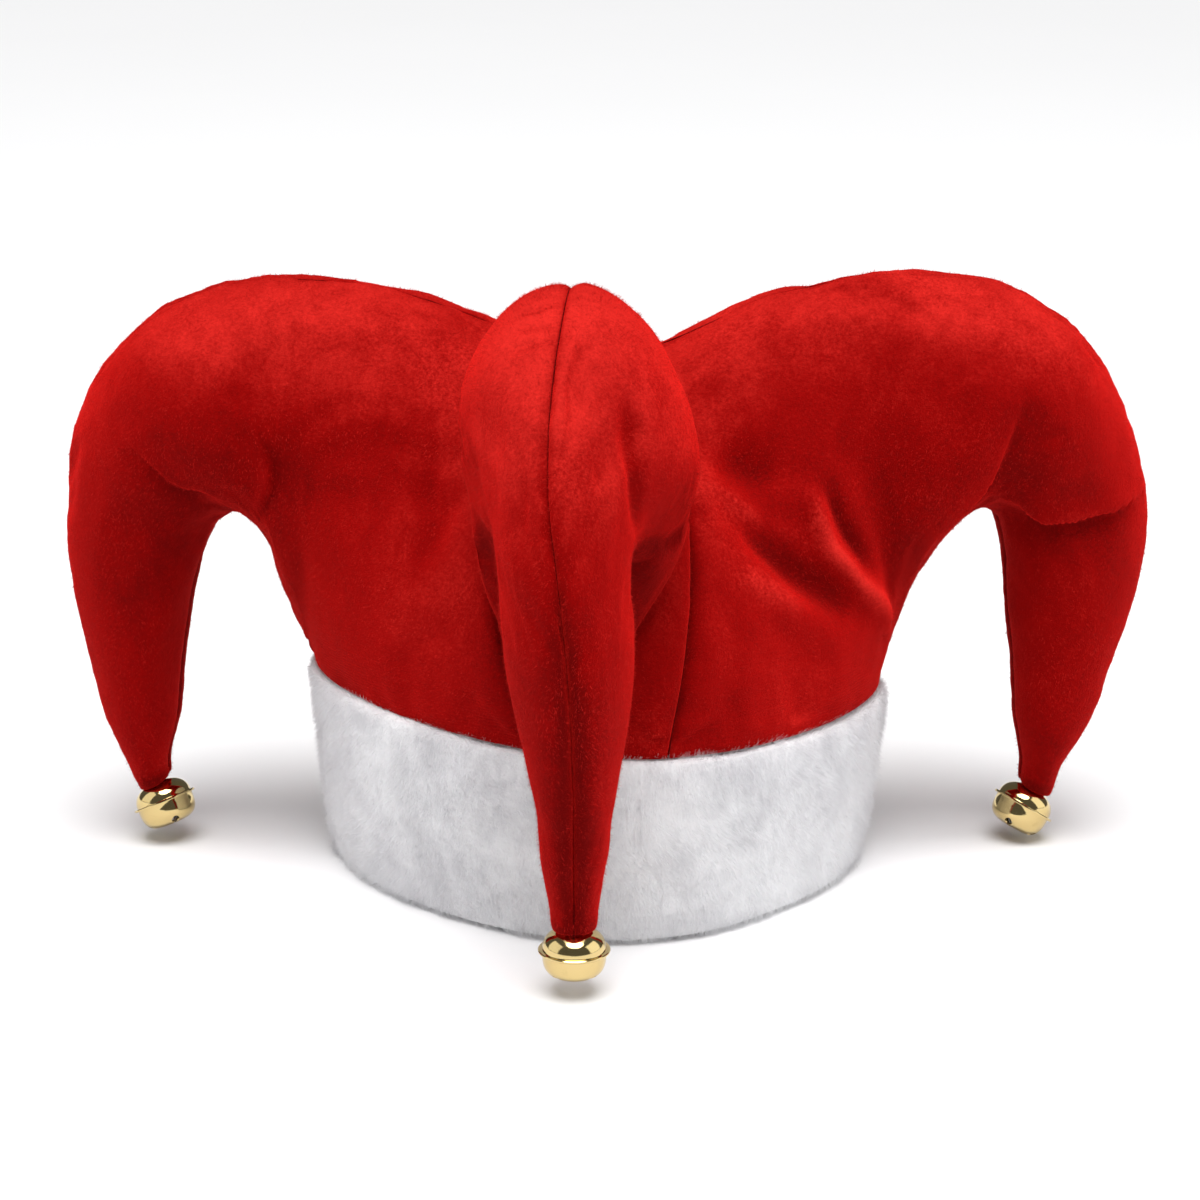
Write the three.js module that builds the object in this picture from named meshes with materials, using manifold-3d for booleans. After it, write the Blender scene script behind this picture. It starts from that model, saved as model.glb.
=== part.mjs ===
// A three-horned jester hat: six cut panels of red velour sewn edge to edge into a hollow cap
// whose horns arch outwards and hang, a white plush cuff round the rim, and a brass-plated
// jingle bell at the tip of each horn.
//
// Millimetres, +Z up, the front horn towards -Y. The hat stands on its cuff, and its origin is
// the middle of its footprint. Turns are degrees round Z from the front, positive towards +X.
import * as THREE from "three";
import Module from "manifold-3d";
import { mergeVertices } from "three/addons/utils/BufferGeometryUtils.js";

const wasm = await Module();
wasm.setup();

// Cloth and how the pieces lie against each other.
const CLOTH = 2.0; // thickness of the velour
const SEAM_GAP = 0.4; // between two cloth edges sewn together
const SEAM_PINCH = 1.6; // how deep a seam pulls the cloth in
const PINCH_SHARE = 0.09; // of the horn's thickness there, which limits the pull near its tip
const SEAT_GAP = 0.3; // between pieces that rest on each other

// The rim and the plush cuff round it.
const RIM_HALF_WIDTH = 103; // from the middle to the left or right corner of the opening
const CUFF_HEIGHT = 67;
const CUFF_THICKNESS = 10;
const CUFF_EDGE_RADIUS = 0.32 * CUFF_THICKNESS;
const CUFF_SLANT = 0.05; // how much higher its top edge is on the left, as a share of the height
const CUFF_TAPER = 0.07; // how much narrower the cuff is at its foot, as a share of its reach
const CUFF_BULGE = 1.6; // how far the pile swells half-way up
const CLOTH_INSET = 0.45 * CUFF_THICKNESS; // from its face to the inside of the cloth on it

// The jingle bells.
const BELL_RADIUS = 10.3;
const BELL = {
  flangeRadius: BELL_RADIUS + 1.3,
  flangeThickness: 0.8,
  capHeight: 0.72 * BELL_RADIUS, // above the flange
  cupHeight: 0.87 * BELL_RADIUS, // below the flange
  wall: 0.6,
  squareness: 2.5, // 2 is an ellipsoid, more is boxier
  slotWidth: 1.4,
  slotReach: 0.8 * BELL_RADIUS, // to the round holes that end the slots
  slotDrop: 0.26 * BELL_RADIUS, // from the flange down to the slots
  holeRadius: 0.165 * BELL_RADIUS,
  loopRadius: 2,
  loopWire: 0.6,
  pelletRadius: 0.25 * BELL_RADIUS,
};

// A curve whose handles are this much longer than its half-width reaches that half-width.
const FULLNESS = 4 / 3;

// The horns and the saddle where their three ridges meet.
const HORN_RISE = 207; // from the surface to the top of a horn
const HORN_GIRTH = 80; // across the fullest part of a horn
const SADDLE = { x: -0.07 * RIM_HALF_WIDTH, y: 0.12 * RIM_HALF_WIDTH, z: HORN_RISE - 30 };
const BELL_LIFT = 1.6; // from the surface to the bells
const TIP_HEIGHT = BELL_LIFT + BELL.cupHeight + BELL.capHeight; // of the horns' tips

// How finely the cloth and the cuff are faceted.
const ACROSS_STEPS = 12; // from the lower edge of a panel to its ridge
const STEPS_PER_ROW = 2; // between two rows of a horn's table
const CUFF_STEPS = 60;
const CUFF_CORNER_STEPS = 2;
const BELL_STEPS = 20; // round a bell
const BELL_RISE_STEPS = 5; // from its flange to its pole
const HOLE_STEPS = 8;
const LOOP_STEPS = 10;
const WIRE_STEPS = 5;

const RED_VELOUR = new THREE.MeshStandardMaterial({ color: 0xb80d0c, roughness: 0.85 });
const WHITE_PLUSH = new THREE.MeshStandardMaterial({ color: 0xeeeeee, roughness: 0.95 });
const BRASS = new THREE.MeshStandardMaterial({ color: 0xd8b25a, roughness: 0.15, metalness: 1 });
const STEEL = new THREE.MeshStandardMaterial({ color: 0x8d8d8d, roughness: 0.35, metalness: 1 });

// The opening seen from above: reach from the middle, as a share of RIM_HALF_WIDTH.
const RIM_PLAN = [
  { turn: -180, reach: 0.84 },
  { turn: -150, reach: 0.88 },
  { turn: -122, reach: 0.96 },
  { turn: -98, reach: 1.01 },
  { turn: -75, reach: 0.9 },
  { turn: -50, reach: 0.83 },
  { turn: -25, reach: 0.83 },
  { turn: 0, reach: 0.87 },
  { turn: 25, reach: 0.88 },
  { turn: 50, reach: 0.87 },
  { turn: 75, reach: 0.93 },
  { turn: 98, reach: 1.01 },
  { turn: 122, reach: 0.96 },
  { turn: 150, reach: 0.88 },
];

// Hollows in the outer face of the cuff: width in degrees, the rest as shares of its height
// and of its thickness.
const CUFF_HOLLOWS = [
  { turn: -84, up: 0.45, width: 7, tall: 0.6, depth: 0.16 },
  { turn: -40, up: 0.42, width: 16, tall: 0.35, depth: 0.12 },
  { turn: 42, up: 0.4, width: 12, tall: 0.3, depth: 0.2 },
  { turn: 66, up: 0.62, width: 6, tall: 0.4, depth: 0.16 },
  { turn: 150, up: 0.5, width: 14, tall: 0.4, depth: 0.14 },
  { turn: -135, up: 0.55, width: 12, tall: 0.35, depth: 0.14 },
];

// The horns. The first rows of a table stand on the rim: foot runs from 0 at the seam between
// two horns to 1 under the horn. The others close under the horn, at underOut and underUp. Outs
// run from 0 at the saddle to 1 at the rim and 2 at the end of the overhang, ups from 0 at the
// height of the tips to 1 at the horn's rise. Bulge is a share of half the girth. Lean is how
// far the cloth leaves its lower edge off the vertical.
const HORNS = {
  left: {
    turn: -93,
    overhang: 85.5,
    rise: HORN_RISE - 1,
    rows: [
      { foot: 0.36, ridgeOut: 0.333, ridgeUp: 0.923, bulge: 0.86, lean: 6 },
      { foot: 0.7, ridgeOut: 0.678, ridgeUp: 0.978, bulge: 0.95, lean: 16 },
      { foot: 1, ridgeOut: 1.008, ridgeUp: 0.998, bulge: 1, lean: 58 },
      { underOut: 1.09, underUp: 0.395, ridgeOut: 1.229, ridgeUp: 0.995, bulge: 1, lean: 70 },
      { underOut: 1.148, underUp: 0.505, ridgeOut: 1.413, ridgeUp: 0.973, bulge: 1, lean: 82 },
      { underOut: 1.235, underUp: 0.57, ridgeOut: 1.608, ridgeUp: 0.939, bulge: 0.99, lean: 90 },
      { underOut: 1.328, underUp: 0.586, ridgeOut: 1.783, ridgeUp: 0.875, bulge: 0.93, lean: 90 },
      { underOut: 1.427, underUp: 0.567, ridgeOut: 1.913, ridgeUp: 0.779, bulge: 0.8, lean: 90 },
      { underOut: 1.516, underUp: 0.505, ridgeOut: 1.988, ridgeUp: 0.649, bulge: 0.64, lean: 90 },
      { underOut: 1.58, underUp: 0.403, ridgeOut: 1.992, ridgeUp: 0.481, bulge: 0.53, lean: 90 },
      { underOut: 1.626, underUp: 0.288, ridgeOut: 1.93, ridgeUp: 0.305, bulge: 0.46, lean: 90 },
      { underOut: 1.655, underUp: 0.178, ridgeOut: 1.855, ridgeUp: 0.154, bulge: 0.37, lean: 90 },
      { underOut: 1.69, underUp: 0.088, ridgeOut: 1.798, ridgeUp: 0.06, bulge: 0.25, lean: 90 },
      { underOut: 1.68, underUp: 0.038, ridgeOut: 1.765, ridgeUp: 0.014, bulge: 0.16, lean: 90 },
    ],
  },
  right: {
    turn: 93,
    overhang: 93,
    rise: HORN_RISE,
    rows: [
      { foot: 0.36, ridgeOut: 0.286, ridgeUp: 0.876, bulge: 0.86, lean: 6 },
      { foot: 0.7, ridgeOut: 0.593, ridgeUp: 0.954, bulge: 0.95, lean: 16 },
      { foot: 1, ridgeOut: 0.896, ridgeUp: 0.995, bulge: 1, lean: 58 },
      { underOut: 1.053, underUp: 0.356, ridgeOut: 1.132, ridgeUp: 0.998, bulge: 1, lean: 70 },
      { underOut: 1.151, underUp: 0.472, ridgeOut: 1.356, ridgeUp: 0.985, bulge: 1, lean: 82 },
      { underOut: 1.275, underUp: 0.56, ridgeOut: 1.574, ridgeUp: 0.953, bulge: 0.99, lean: 90 },
      { underOut: 1.403, underUp: 0.584, ridgeOut: 1.761, ridgeUp: 0.882, bulge: 0.93, lean: 90 },
      { underOut: 1.492, underUp: 0.553, ridgeOut: 1.889, ridgeUp: 0.77, bulge: 0.8, lean: 90 },
      { underOut: 1.537, underUp: 0.48, ridgeOut: 1.983, ridgeUp: 0.635, bulge: 0.64, lean: 90 },
      { underOut: 1.556, underUp: 0.384, ridgeOut: 1.991, ridgeUp: 0.485, bulge: 0.53, lean: 90 },
      { underOut: 1.586, underUp: 0.279, ridgeOut: 1.906, ridgeUp: 0.317, bulge: 0.46, lean: 90 },
      { underOut: 1.605, underUp: 0.17, ridgeOut: 1.808, ridgeUp: 0.163, bulge: 0.37, lean: 90 },
      { underOut: 1.62, underUp: 0.082, ridgeOut: 1.727, ridgeUp: 0.065, bulge: 0.25, lean: 90 },
      { underOut: 1.612, underUp: 0.023, ridgeOut: 1.693, ridgeUp: -0.001, bulge: 0.16, lean: 90 },
    ],
  },
  front: {
    turn: 0,
    overhang: 62,
    rise: HORN_RISE + 13,
    rows: [
      { foot: 0.5, ridgeOut: 0.279, ridgeUp: 0.875, bulge: 0.9, lean: 12 },
      { foot: 1, ridgeOut: 0.542, ridgeUp: 0.946, bulge: 0.98, lean: 30 },
      { underOut: 1.055, underUp: 0.379, ridgeOut: 0.78, ridgeUp: 0.987, bulge: 1, lean: 62 },
      { underOut: 1.106, underUp: 0.499, ridgeOut: 0.994, ridgeUp: 1, bulge: 1.01, lean: 82 },
      { underOut: 1.182, underUp: 0.57, ridgeOut: 1.284, ridgeUp: 0.98, bulge: 0.98, lean: 90 },
      { underOut: 1.272, underUp: 0.592, ridgeOut: 1.54, ridgeUp: 0.932, bulge: 0.86, lean: 90 },
      { underOut: 1.348, underUp: 0.577, ridgeOut: 1.757, ridgeUp: 0.853, bulge: 0.67, lean: 90 },
      { underOut: 1.4, underUp: 0.521, ridgeOut: 1.918, ridgeUp: 0.747, bulge: 0.53, lean: 90 },
      { underOut: 1.443, underUp: 0.428, ridgeOut: 2, ridgeUp: 0.608, bulge: 0.48, lean: 90 },
      { underOut: 1.489, underUp: 0.314, ridgeOut: 1.962, ridgeUp: 0.423, bulge: 0.37, lean: 90 },
      { underOut: 1.535, underUp: 0.194, ridgeOut: 1.847, ridgeUp: 0.238, bulge: 0.2, lean: 90 },
      { underOut: 1.56, underUp: 0.085, ridgeOut: 1.744, ridgeUp: 0.091, bulge: 0.14, lean: 90 },
      { underOut: 1.566, underUp: 0.03, ridgeOut: 1.724, ridgeUp: 0.025, bulge: 0.13, lean: 90 },
    ],
  },
};

// The seams that run from the rim to the saddle, between two horns: the turn of the foot, how
// the seam leaves the rim, as shares of the crown's height, and how it comes over the crown to
// the saddle, as shares of the rim's half-width.
const CROWN_SEAMS = {
  front_left: { turn: -15, leave: { x: -0.13, y: -0.05, z: 0.45 }, over: { x: -0.39, y: -0.35 } },
  front_right: { turn: 15, leave: { x: 0.11, y: -0.05, z: 0.45 }, over: { x: 0.47, y: -0.35 } },
  back: { turn: 180, leave: { x: 0, y: 0.07, z: 0.56 }, over: { x: 0, y: 0.43 } },
};

// Each panel is one side of one horn and runs to one seam of the crown. Sag moves its fullest
// part down, as a share of the section.
const PANELS = [
  { name: "panel_left_front", horn: "left", side: 1, seam: "front_left", sag: 0.1 },
  { name: "panel_left_back", horn: "left", side: -1, seam: "back", sag: 0.1 },
  { name: "panel_right_front", horn: "right", side: -1, seam: "front_right", sag: 0.1 },
  { name: "panel_right_back", horn: "right", side: 1, seam: "back", sag: 0.1 },
  { name: "panel_front_left", horn: "front", side: -1, seam: "front_left", sag: 0 },
  { name: "panel_front_right", horn: "front", side: 1, seam: "front_right", sag: 0.25 },
];

// Soft pushes that set a horn askew. Out and up are as in its table, spread and push are shares
// of half the girth, and a push is across the horn, anticlockwise seen from above.
const PUSHES = [{ horn: "front", out: 1.65, up: 0.77, spread: 1.25, push: -0.2 }];

// Folds pressed into the cloth, or raised where the depth is negative. From and to are places
// on a panel, as row of its horn's table (0 is the seam of the crown) and share of the way
// across. Width and depth are shares of half the girth.
const FOLDS = [
  { panel: "panel_right_front", from: [0.9, 0.66], to: [1.5, 0.46], width: 0.24, depth: 0.1 },
  { panel: "panel_right_front", from: [1.2, 0.43], to: [1.9, 0.28], width: 0.24, depth: 0.14 },
  { panel: "panel_right_front", from: [1.8, 0.5], to: [3.1, 0.2], width: 0.17, depth: -0.09 },
  { panel: "panel_right_front", from: [2.3, 0.5], to: [3.8, 0.2], width: 0.19, depth: 0.07 },
  { panel: "panel_right_front", from: [6.2, 0.5], to: [6.6, 0.2], width: 0.2, depth: 0.07 },
  { panel: "panel_right_front", from: [7.6, 0.12], to: [8.9, 0.55], width: 0.18, depth: 0.08 },
  { panel: "panel_right_back", from: [1.1, 0.62], to: [2.1, 0.36], width: 0.3, depth: 0.1 },
  { panel: "panel_right_back", from: [2.7, 0.5], to: [3.6, 0.22], width: 0.22, depth: 0.08 },
  { panel: "panel_right_back", from: [7.4, 0.12], to: [8.6, 0.5], width: 0.2, depth: 0.06 },
  { panel: "panel_left_front", from: [0.7, 0.55], to: [0.4, 0.3], width: 0.26, depth: 0.1 },
  { panel: "panel_left_front", from: [1.2, 0.5], to: [1.3, 0.34], width: 0.17, depth: 0.06 },
  { panel: "panel_left_front", from: [4.1, 0.46], to: [4.7, 0.2], width: 0.19, depth: 0.07 },
  { panel: "panel_left_front", from: [6.6, 0.15], to: [7.2, 0.52], width: 0.2, depth: 0.06 },
  { panel: "panel_left_back", from: [0.9, 0.58], to: [1.6, 0.34], width: 0.3, depth: 0.1 },
  { panel: "panel_left_back", from: [3.4, 0.45], to: [4.2, 0.2], width: 0.22, depth: 0.07 },
  { panel: "panel_front_right", from: [7.4, 0.36], to: [6.2, 0.14], width: 0.18, depth: 0.09 },
  { panel: "panel_front_right", from: [3.2, 0.12], to: [1.6, 0.3], width: 0.2, depth: 0.08 },
  { panel: "panel_front_left", from: [3.6, 0.52], to: [6.4, 0.5], width: 0.85, depth: 0.25 },
];

// How each bell hangs from its horn: tipped in towards the hat and forwards, in degrees.
const BELL_LEANS = {
  left: { inward: 23, forward: 14 },
  right: { inward: 31, forward: 14 },
  front: { inward: 0, forward: 0 },
};

const UP = new THREE.Vector3(0, 0, 1);
const saddlePoint = new THREE.Vector3(SADDLE.x, SADDLE.y, SADDLE.z);
const crownCore = new THREE.Vector3(SADDLE.x, SADDLE.y, (CUFF_HEIGHT + SADDLE.z) / 2);

const radians = THREE.MathUtils.degToRad;
const outwards = (turn) => new THREE.Vector3(Math.sin(radians(turn)), -Math.cos(radians(turn)), 0);

// Reach of the rim at a turn, through the rows of RIM_PLAN by a closed Catmull-Rom curve.
function rimReach(turn) {
  const count = RIM_PLAN.length;
  const wrapped = ((((turn + 180) % 360) + 360) % 360) - 180;
  let k = count - 1;
  while (RIM_PLAN[k].turn > wrapped) k--;
  const row = (i) => RIM_PLAN[(i + count) % count];
  const next = k + 1 < count ? RIM_PLAN[k + 1].turn : RIM_PLAN[0].turn + 360;
  const t = (wrapped - RIM_PLAN[k].turn) / (next - RIM_PLAN[k].turn);
  const [a, b, c, d] = [row(k - 1), row(k), row(k + 1), row(k + 2)].map((r) => r.reach);
  const cubic = (-a + 3 * b - 3 * c + d) * t ** 3 + (2 * a - 5 * b + 4 * c - d) * t * t;
  return (RIM_HALF_WIDTH * (cubic + (c - a) * t + 2 * b)) / 2;
}

// Height of the cuff's top edge at a turn.
const cuffTop = (turn) => CUFF_HEIGHT * (1 - CUFF_SLANT * Math.sin(radians(turn)));

// A point on the line where the cloth meets the cuff.
function rimPoint(turn) {
  return outwards(turn)
    .multiplyScalar(rimReach(turn) - CLOTH_INSET)
    .setZ(cuffTop(turn) + SEAT_GAP);
}

// The turn at which an upright plane through the saddle crosses the rim, near a first guess.
function footTurn(guess, normal) {
  const reach = 40;
  const halvings = 40;
  let low = guess - reach;
  let high = guess + reach;
  const past = (turn) => rimPoint(turn).sub(saddlePoint).dot(normal) > 0;
  for (let i = 0; i < halvings; i++) {
    const middle = (low + high) / 2;
    if (past(middle) === past(low)) low = middle;
    else high = middle;
  }
  return low;
}

// Where a horn stands: its upright plane, the turn of its foot on the rim, and its places.
function hornPlan(name) {
  const horn = HORNS[name];
  const along = outwards(horn.turn);
  const plane = new THREE.Vector3(-along.y, along.x, 0);
  const foot = footTurn(horn.turn, plane);
  const rimOut = rimPoint(foot).sub(saddlePoint).dot(along);
  const place = (out, up) =>
    saddlePoint
      .clone()
      .addScaledVector(along, out < 1 ? out * rimOut : rimOut + (out - 1) * horn.overhang)
      .setZ(TIP_HEIGHT + up * (horn.rise - TIP_HEIGHT));
  return { rows: horn.rows, plane, foot, place };
}

// A seam of the crown as a Bezier curve from the rim to the saddle.
function seamEnds(name) {
  const { turn, leave, over } = CROWN_SEAMS[name];
  const foot = rimPoint(turn);
  const leaving = new THREE.Vector3(leave.x, leave.y, leave.z);
  const coming = new THREE.Vector3(over.x, over.y, 0);
  return [
    foot,
    foot.clone().addScaledVector(leaving, saddlePoint.z - foot.z),
    saddlePoint.clone().addScaledVector(coming, RIM_HALF_WIDTH),
    saddlePoint.clone(),
  ];
}

// Where a panel lies: for each row of its horn's table the four Bezier points of the section
// from its lower edge up to the ridge. Row 0 is the seam of the crown.
function panelFrame(panel) {
  const plan = hornPlan(panel.horn);
  const face = plan.plane.clone().multiplyScalar(panel.side);
  const from = CROWN_SEAMS[panel.seam].turn;
  let to = plan.foot;
  if (to - from > 180) to -= 360;
  if (to - from < -180) to += 360;
  const turnAt = (foot) => from + foot * (to - from);
  const cornerRow = plan.rows.findIndex((row) => row.foot === 1) + 1;
  const sections = [seamEnds(panel.seam)];
  for (const row of plan.rows) {
    const onRim = row.foot !== undefined;
    const low = onRim ? rimPoint(turnAt(row.foot)) : plan.place(row.underOut, row.underUp);
    const ridge = plan.place(row.ridgeOut, row.ridgeUp);
    const turned = onRim ? row.foot ** 2 : 1;
    const sideways = face.clone().multiplyScalar(turned);
    if (onRim) sideways.addScaledVector(outwards(turnAt(row.foot)), 1 - turned);
    sideways.normalize();
    const pull = (FULLNESS * row.bulge * HORN_GIRTH) / 2;
    const lean = radians(row.lean);
    const lowPull = pull * (1 + panel.sag);
    const lowHandle = low
      .clone()
      .addScaledVector(UP, Math.cos(lean) * lowPull)
      .addScaledVector(sideways, Math.sin(lean) * lowPull);
    const ridgeHandle = ridge.clone().addScaledVector(face, pull * (1 - panel.sag));
    sections.push([low, lowHandle, ridgeHandle, ridge]);
  }
  return { ...plan, face, turnAt, cornerRow, sections };
}

// A panel's inner face: at(row, across) gives the point, with row counted along the table.
function panelSurface(panel) {
  const frame = panelFrame(panel);
  const last = frame.sections.length - 1;
  const smooth = (points) => new THREE.CatmullRomCurve3(points, false, "catmullrom", 0.5);
  const lines = [0, 1, 2, 3].map((k) => smooth(frame.sections.map((section) => section[k])));
  const under = smooth(frame.sections.slice(frame.cornerRow).map((section) => section[0]));
  const feet = [0, ...frame.rows.filter((row) => row.foot).map((row) => row.foot)];
  const lowEdge = (row) => {
    if (row >= frame.cornerRow)
      return under.getPoint((row - frame.cornerRow) / (last - frame.cornerRow));
    const k = Math.min(Math.floor(row), frame.cornerRow - 1);
    return rimPoint(frame.turnAt(feet[k] + (row - k) * (feet[k + 1] - feet[k])));
  };
  const at = (row, across) => {
    const ends = lines.map((line, k) => (k ? line.getPoint(row / last) : lowEdge(row)));
    const curve = new THREE.CubicBezierCurve3(...ends);
    return curve.getPoint(across);
  };
  return { ...frame, last, at };
}

// Steps across a panel lie closer together towards its edges.
const acrossShare = (j) => {
  const even = j / ACROSS_STEPS;
  return (even + (1 - Math.cos(Math.PI * even)) / 2) / 2;
};

// Moves a point of the cloth by the soft pushes.
function pushed(point) {
  const moved = point.clone();
  for (const { horn, out, up, spread, push } of PUSHES) {
    const { plane, place } = hornPlan(horn);
    const away = (2 * place(out, up).distanceTo(point)) / (spread * HORN_GIRTH);
    moved.addScaledVector(plane, (push * HORN_GIRTH * Math.exp(-away * away)) / 2);
  }
  return moved;
}

// How far the folds of a panel push a point in.
function foldDepth(folds, surface, point) {
  let depth = 0;
  for (const fold of folds) {
    const line = new THREE.Line3(surface.at(...fold.from), surface.at(...fold.to));
    const nearest = line.closestPointToPoint(point, true, new THREE.Vector3());
    const away = (2 * nearest.distanceTo(point)) / (fold.width * HORN_GIRTH);
    depth += (fold.depth * HORN_GIRTH * Math.exp(-away * away)) / 2;
  }
  return depth;
}

// The normals of a grid of points, facing away from the inside of the hat.
function gridNormals(grid, side) {
  const rows = grid.length;
  const columns = grid[0].length;
  return grid.map((line, i) =>
    line.map((_, j) => {
      const a = grid[Math.min(i + 1, rows - 1)][j].clone().sub(grid[Math.max(i - 1, 0)][j]);
      const b = grid[i][Math.min(j + 1, columns - 1)].clone().sub(grid[i][Math.max(j - 1, 0)]);
      return b.cross(a).multiplyScalar(side).normalize();
    }),
  );
}

// A closed mesh from two grids of the same size, the second behind the first.
function wallBetween(outer, inner, side) {
  const rows = outer.length;
  const columns = outer[0].length;
  const points = [...outer.flat(), ...inner.flat()];
  const index = (i, j, layer) => layer * rows * columns + i * columns + j;
  const triangles = [];
  const quad = (a, b, c, d) => {
    if (side < 0) triangles.push(a, b, c, a, c, d);
    else triangles.push(a, c, b, a, d, c);
  };
  for (let i = 0; i + 1 < rows; i++)
    for (let j = 0; j + 1 < columns; j++) {
      quad(index(i, j, 0), index(i + 1, j, 0), index(i + 1, j + 1, 0), index(i, j + 1, 0));
      quad(index(i, j, 1), index(i, j + 1, 1), index(i + 1, j + 1, 1), index(i + 1, j, 1));
    }
  for (let i = 0; i + 1 < rows; i++) {
    const end = columns - 1;
    quad(index(i, 0, 0), index(i, 0, 1), index(i + 1, 0, 1), index(i + 1, 0, 0));
    quad(index(i, end, 0), index(i + 1, end, 0), index(i + 1, end, 1), index(i, end, 1));
  }
  for (let j = 0; j + 1 < columns; j++) {
    const end = rows - 1;
    quad(index(0, j, 0), index(0, j + 1, 0), index(0, j + 1, 1), index(0, j, 1));
    quad(index(end, j, 0), index(end, j, 1), index(end, j + 1, 1), index(end, j + 1, 0));
  }
  const geometry = new THREE.BufferGeometry().setFromPoints(points);
  geometry.setIndex(triangles);
  return geometry;
}

// One panel of cloth, with its edges drawn in along the seams and set back from them.
function clothPanel(panel) {
  const surface = panelSurface(panel);
  const { plane, face, cornerRow, last } = surface;
  const folds = FOLDS.filter((fold) => fold.panel === panel.name);
  const rowSteps = last * STEPS_PER_ROW;
  const rowOf = (i) => i / STEPS_PER_ROW;
  const bare = [];
  for (let i = 0; i <= rowSteps; i++) {
    bare.push([]);
    for (let j = 0; j <= ACROSS_STEPS; j++) bare[i].push(surface.at(rowOf(i), acrossShare(j)));
  }
  const facing = gridNormals(bare, panel.side);
  const dented = bare.map((line, i) =>
    line.map((point, j) =>
      point.clone().addScaledVector(facing[i][j], -foldDepth(folds, surface, point)),
    ),
  );
  const normals = gridNormals(dented, panel.side);
  const thickness = (i) => bare[i][ACROSS_STEPS].distanceTo(bare[i][0]);
  const onSeam = (i, j) => i === 0 && j > 0;
  const onRidge = (j) => j === ACROSS_STEPS;
  const onUnder = (i, j) => j === 0 && rowOf(i) >= cornerRow;
  const onRim = (i, j) => j === 0 && rowOf(i) <= cornerRow;
  const inner = dented.map((line, i) =>
    line.map((point, j) => {
      const normal = normals[i][j];
      if (i === 0) {
        const along = bare[0][Math.min(j + 1, ACROSS_STEPS)].clone().sub(bare[0][Math.max(j - 1, 0)]);
        const seamTangent = along.normalize();
        const across = (vector) => vector.addScaledVector(seamTangent, -vector.dot(seamTangent));
        const towards = bare[1][j].clone().sub(bare[0][j]).normalize();
        const wedge = towards.angleTo(seamTangent.clone().negate());
        normal.copy(across(bare[0][j].clone().sub(crownCore)).normalize());
        point.copy(bare[0][j]);
        if (onRidge(j)) point.addScaledVector(towards, SEAM_GAP / 2 / Math.tan(wedge / 2));
        else point.addScaledVector(across(towards).normalize(), SEAM_GAP / 2);
      }
      if (onRidge(j) || onUnder(i, j)) normal.addScaledVector(plane, -normal.dot(plane)).normalize();
      if (onRim(i, j)) normal.setZ(0).normalize();
      if (onRidge(j) || (onUnder(i, j) && !onRim(i, j)) || onSeam(i, j))
        point.addScaledVector(normal, -Math.min(SEAM_PINCH, PINCH_SHARE * thickness(i)));
      if (onRidge(j) || onUnder(i, j)) {
        point.addScaledVector(plane, -point.clone().sub(saddlePoint).dot(plane));
        point.addScaledVector(face, SEAM_GAP / 2);
      }
      return point;
    }),
  );
  const outer = inner.map((line, i) =>
    line.map((point, j) => point.clone().addScaledVector(normals[i][j], CLOTH)),
  );
  const askew = (grid) => grid.map((line) => line.map(pushed));
  return wallBetween(askew(outer), askew(inner), panel.side);
}

// How far the hollows of the cuff push its outer face in.
function cuffHollow(turn, up) {
  let depth = 0;
  for (const hollow of CUFF_HOLLOWS) {
    const round = (((turn - hollow.turn + 540) % 360) - 180) / hollow.width;
    const high = (up - hollow.up) / hollow.tall;
    depth += hollow.depth * CUFF_THICKNESS * Math.exp(-round * round - high * high);
  }
  return depth;
}

// The cuff's section as a rectangle with round corners: out is measured inwards from its
// outer face, up from its foot.
function cuffSection() {
  const r = CUFF_EDGE_RADIUS;
  const corners = [
    { out: -r, up: r, start: -90 },
    { out: -r, up: CUFF_HEIGHT - r, start: 0 },
    { out: r - CUFF_THICKNESS, up: CUFF_HEIGHT - r, start: 90 },
    { out: r - CUFF_THICKNESS, up: r, start: 180 },
  ];
  return corners.flatMap(({ out, up, start }) =>
    Array.from({ length: CUFF_CORNER_STEPS + 1 }, (_, k) => {
      const angle = radians(start + (90 * k) / CUFF_CORNER_STEPS);
      return { out: out + r * Math.cos(angle), up: up + r * Math.sin(angle) };
    }),
  );
}

// The plush cuff, swept round the rim.
function plushCuff() {
  const section = cuffSection();
  const points = [];
  const triangles = [];
  for (let i = 0; i < CUFF_STEPS; i++) {
    const turn = (360 * i) / CUFF_STEPS - 180;
    for (const { out, up } of section) {
      const share = up / CUFF_HEIGHT;
      const onFace = 1 + out / CUFF_THICKNESS; // 1 on the outer face, 0 on the inner
      const swell = CUFF_BULGE * Math.sin(Math.PI * share) - cuffHollow(turn, share);
      const reach = rimReach(turn) * (1 - CUFF_TAPER * (1 - share)) + out + onFace * swell;
      points.push(outwards(turn).multiplyScalar(reach).setZ(share * cuffTop(turn)));
    }
  }
  const count = section.length;
  const index = (i, k) => (i % CUFF_STEPS) * count + (k % count);
  for (let i = 0; i < CUFF_STEPS; i++)
    for (let k = 0; k < count; k++) {
      const [a, b] = [index(i, k), index(i + 1, k)];
      const [c, d] = [index(i + 1, k + 1), index(i, k + 1)];
      triangles.push(a, b, c, a, c, d);
    }
  const geometry = new THREE.BufferGeometry().setFromPoints(points);
  geometry.setIndex(triangles);
  return geometry;
}

// A closed geometry as a manifold-3d solid, and back.
function solidOf(geometry) {
  const bare = geometry.clone();
  bare.deleteAttribute("normal");
  bare.deleteAttribute("uv");
  const merged = mergeVertices(bare, 1e-4);
  return new wasm.Manifold(
    new wasm.Mesh({
      numProp: 3,
      vertProperties: merged.attributes.position.array,
      triVerts: new Uint32Array(merged.index.array),
    }),
  );
}

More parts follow.
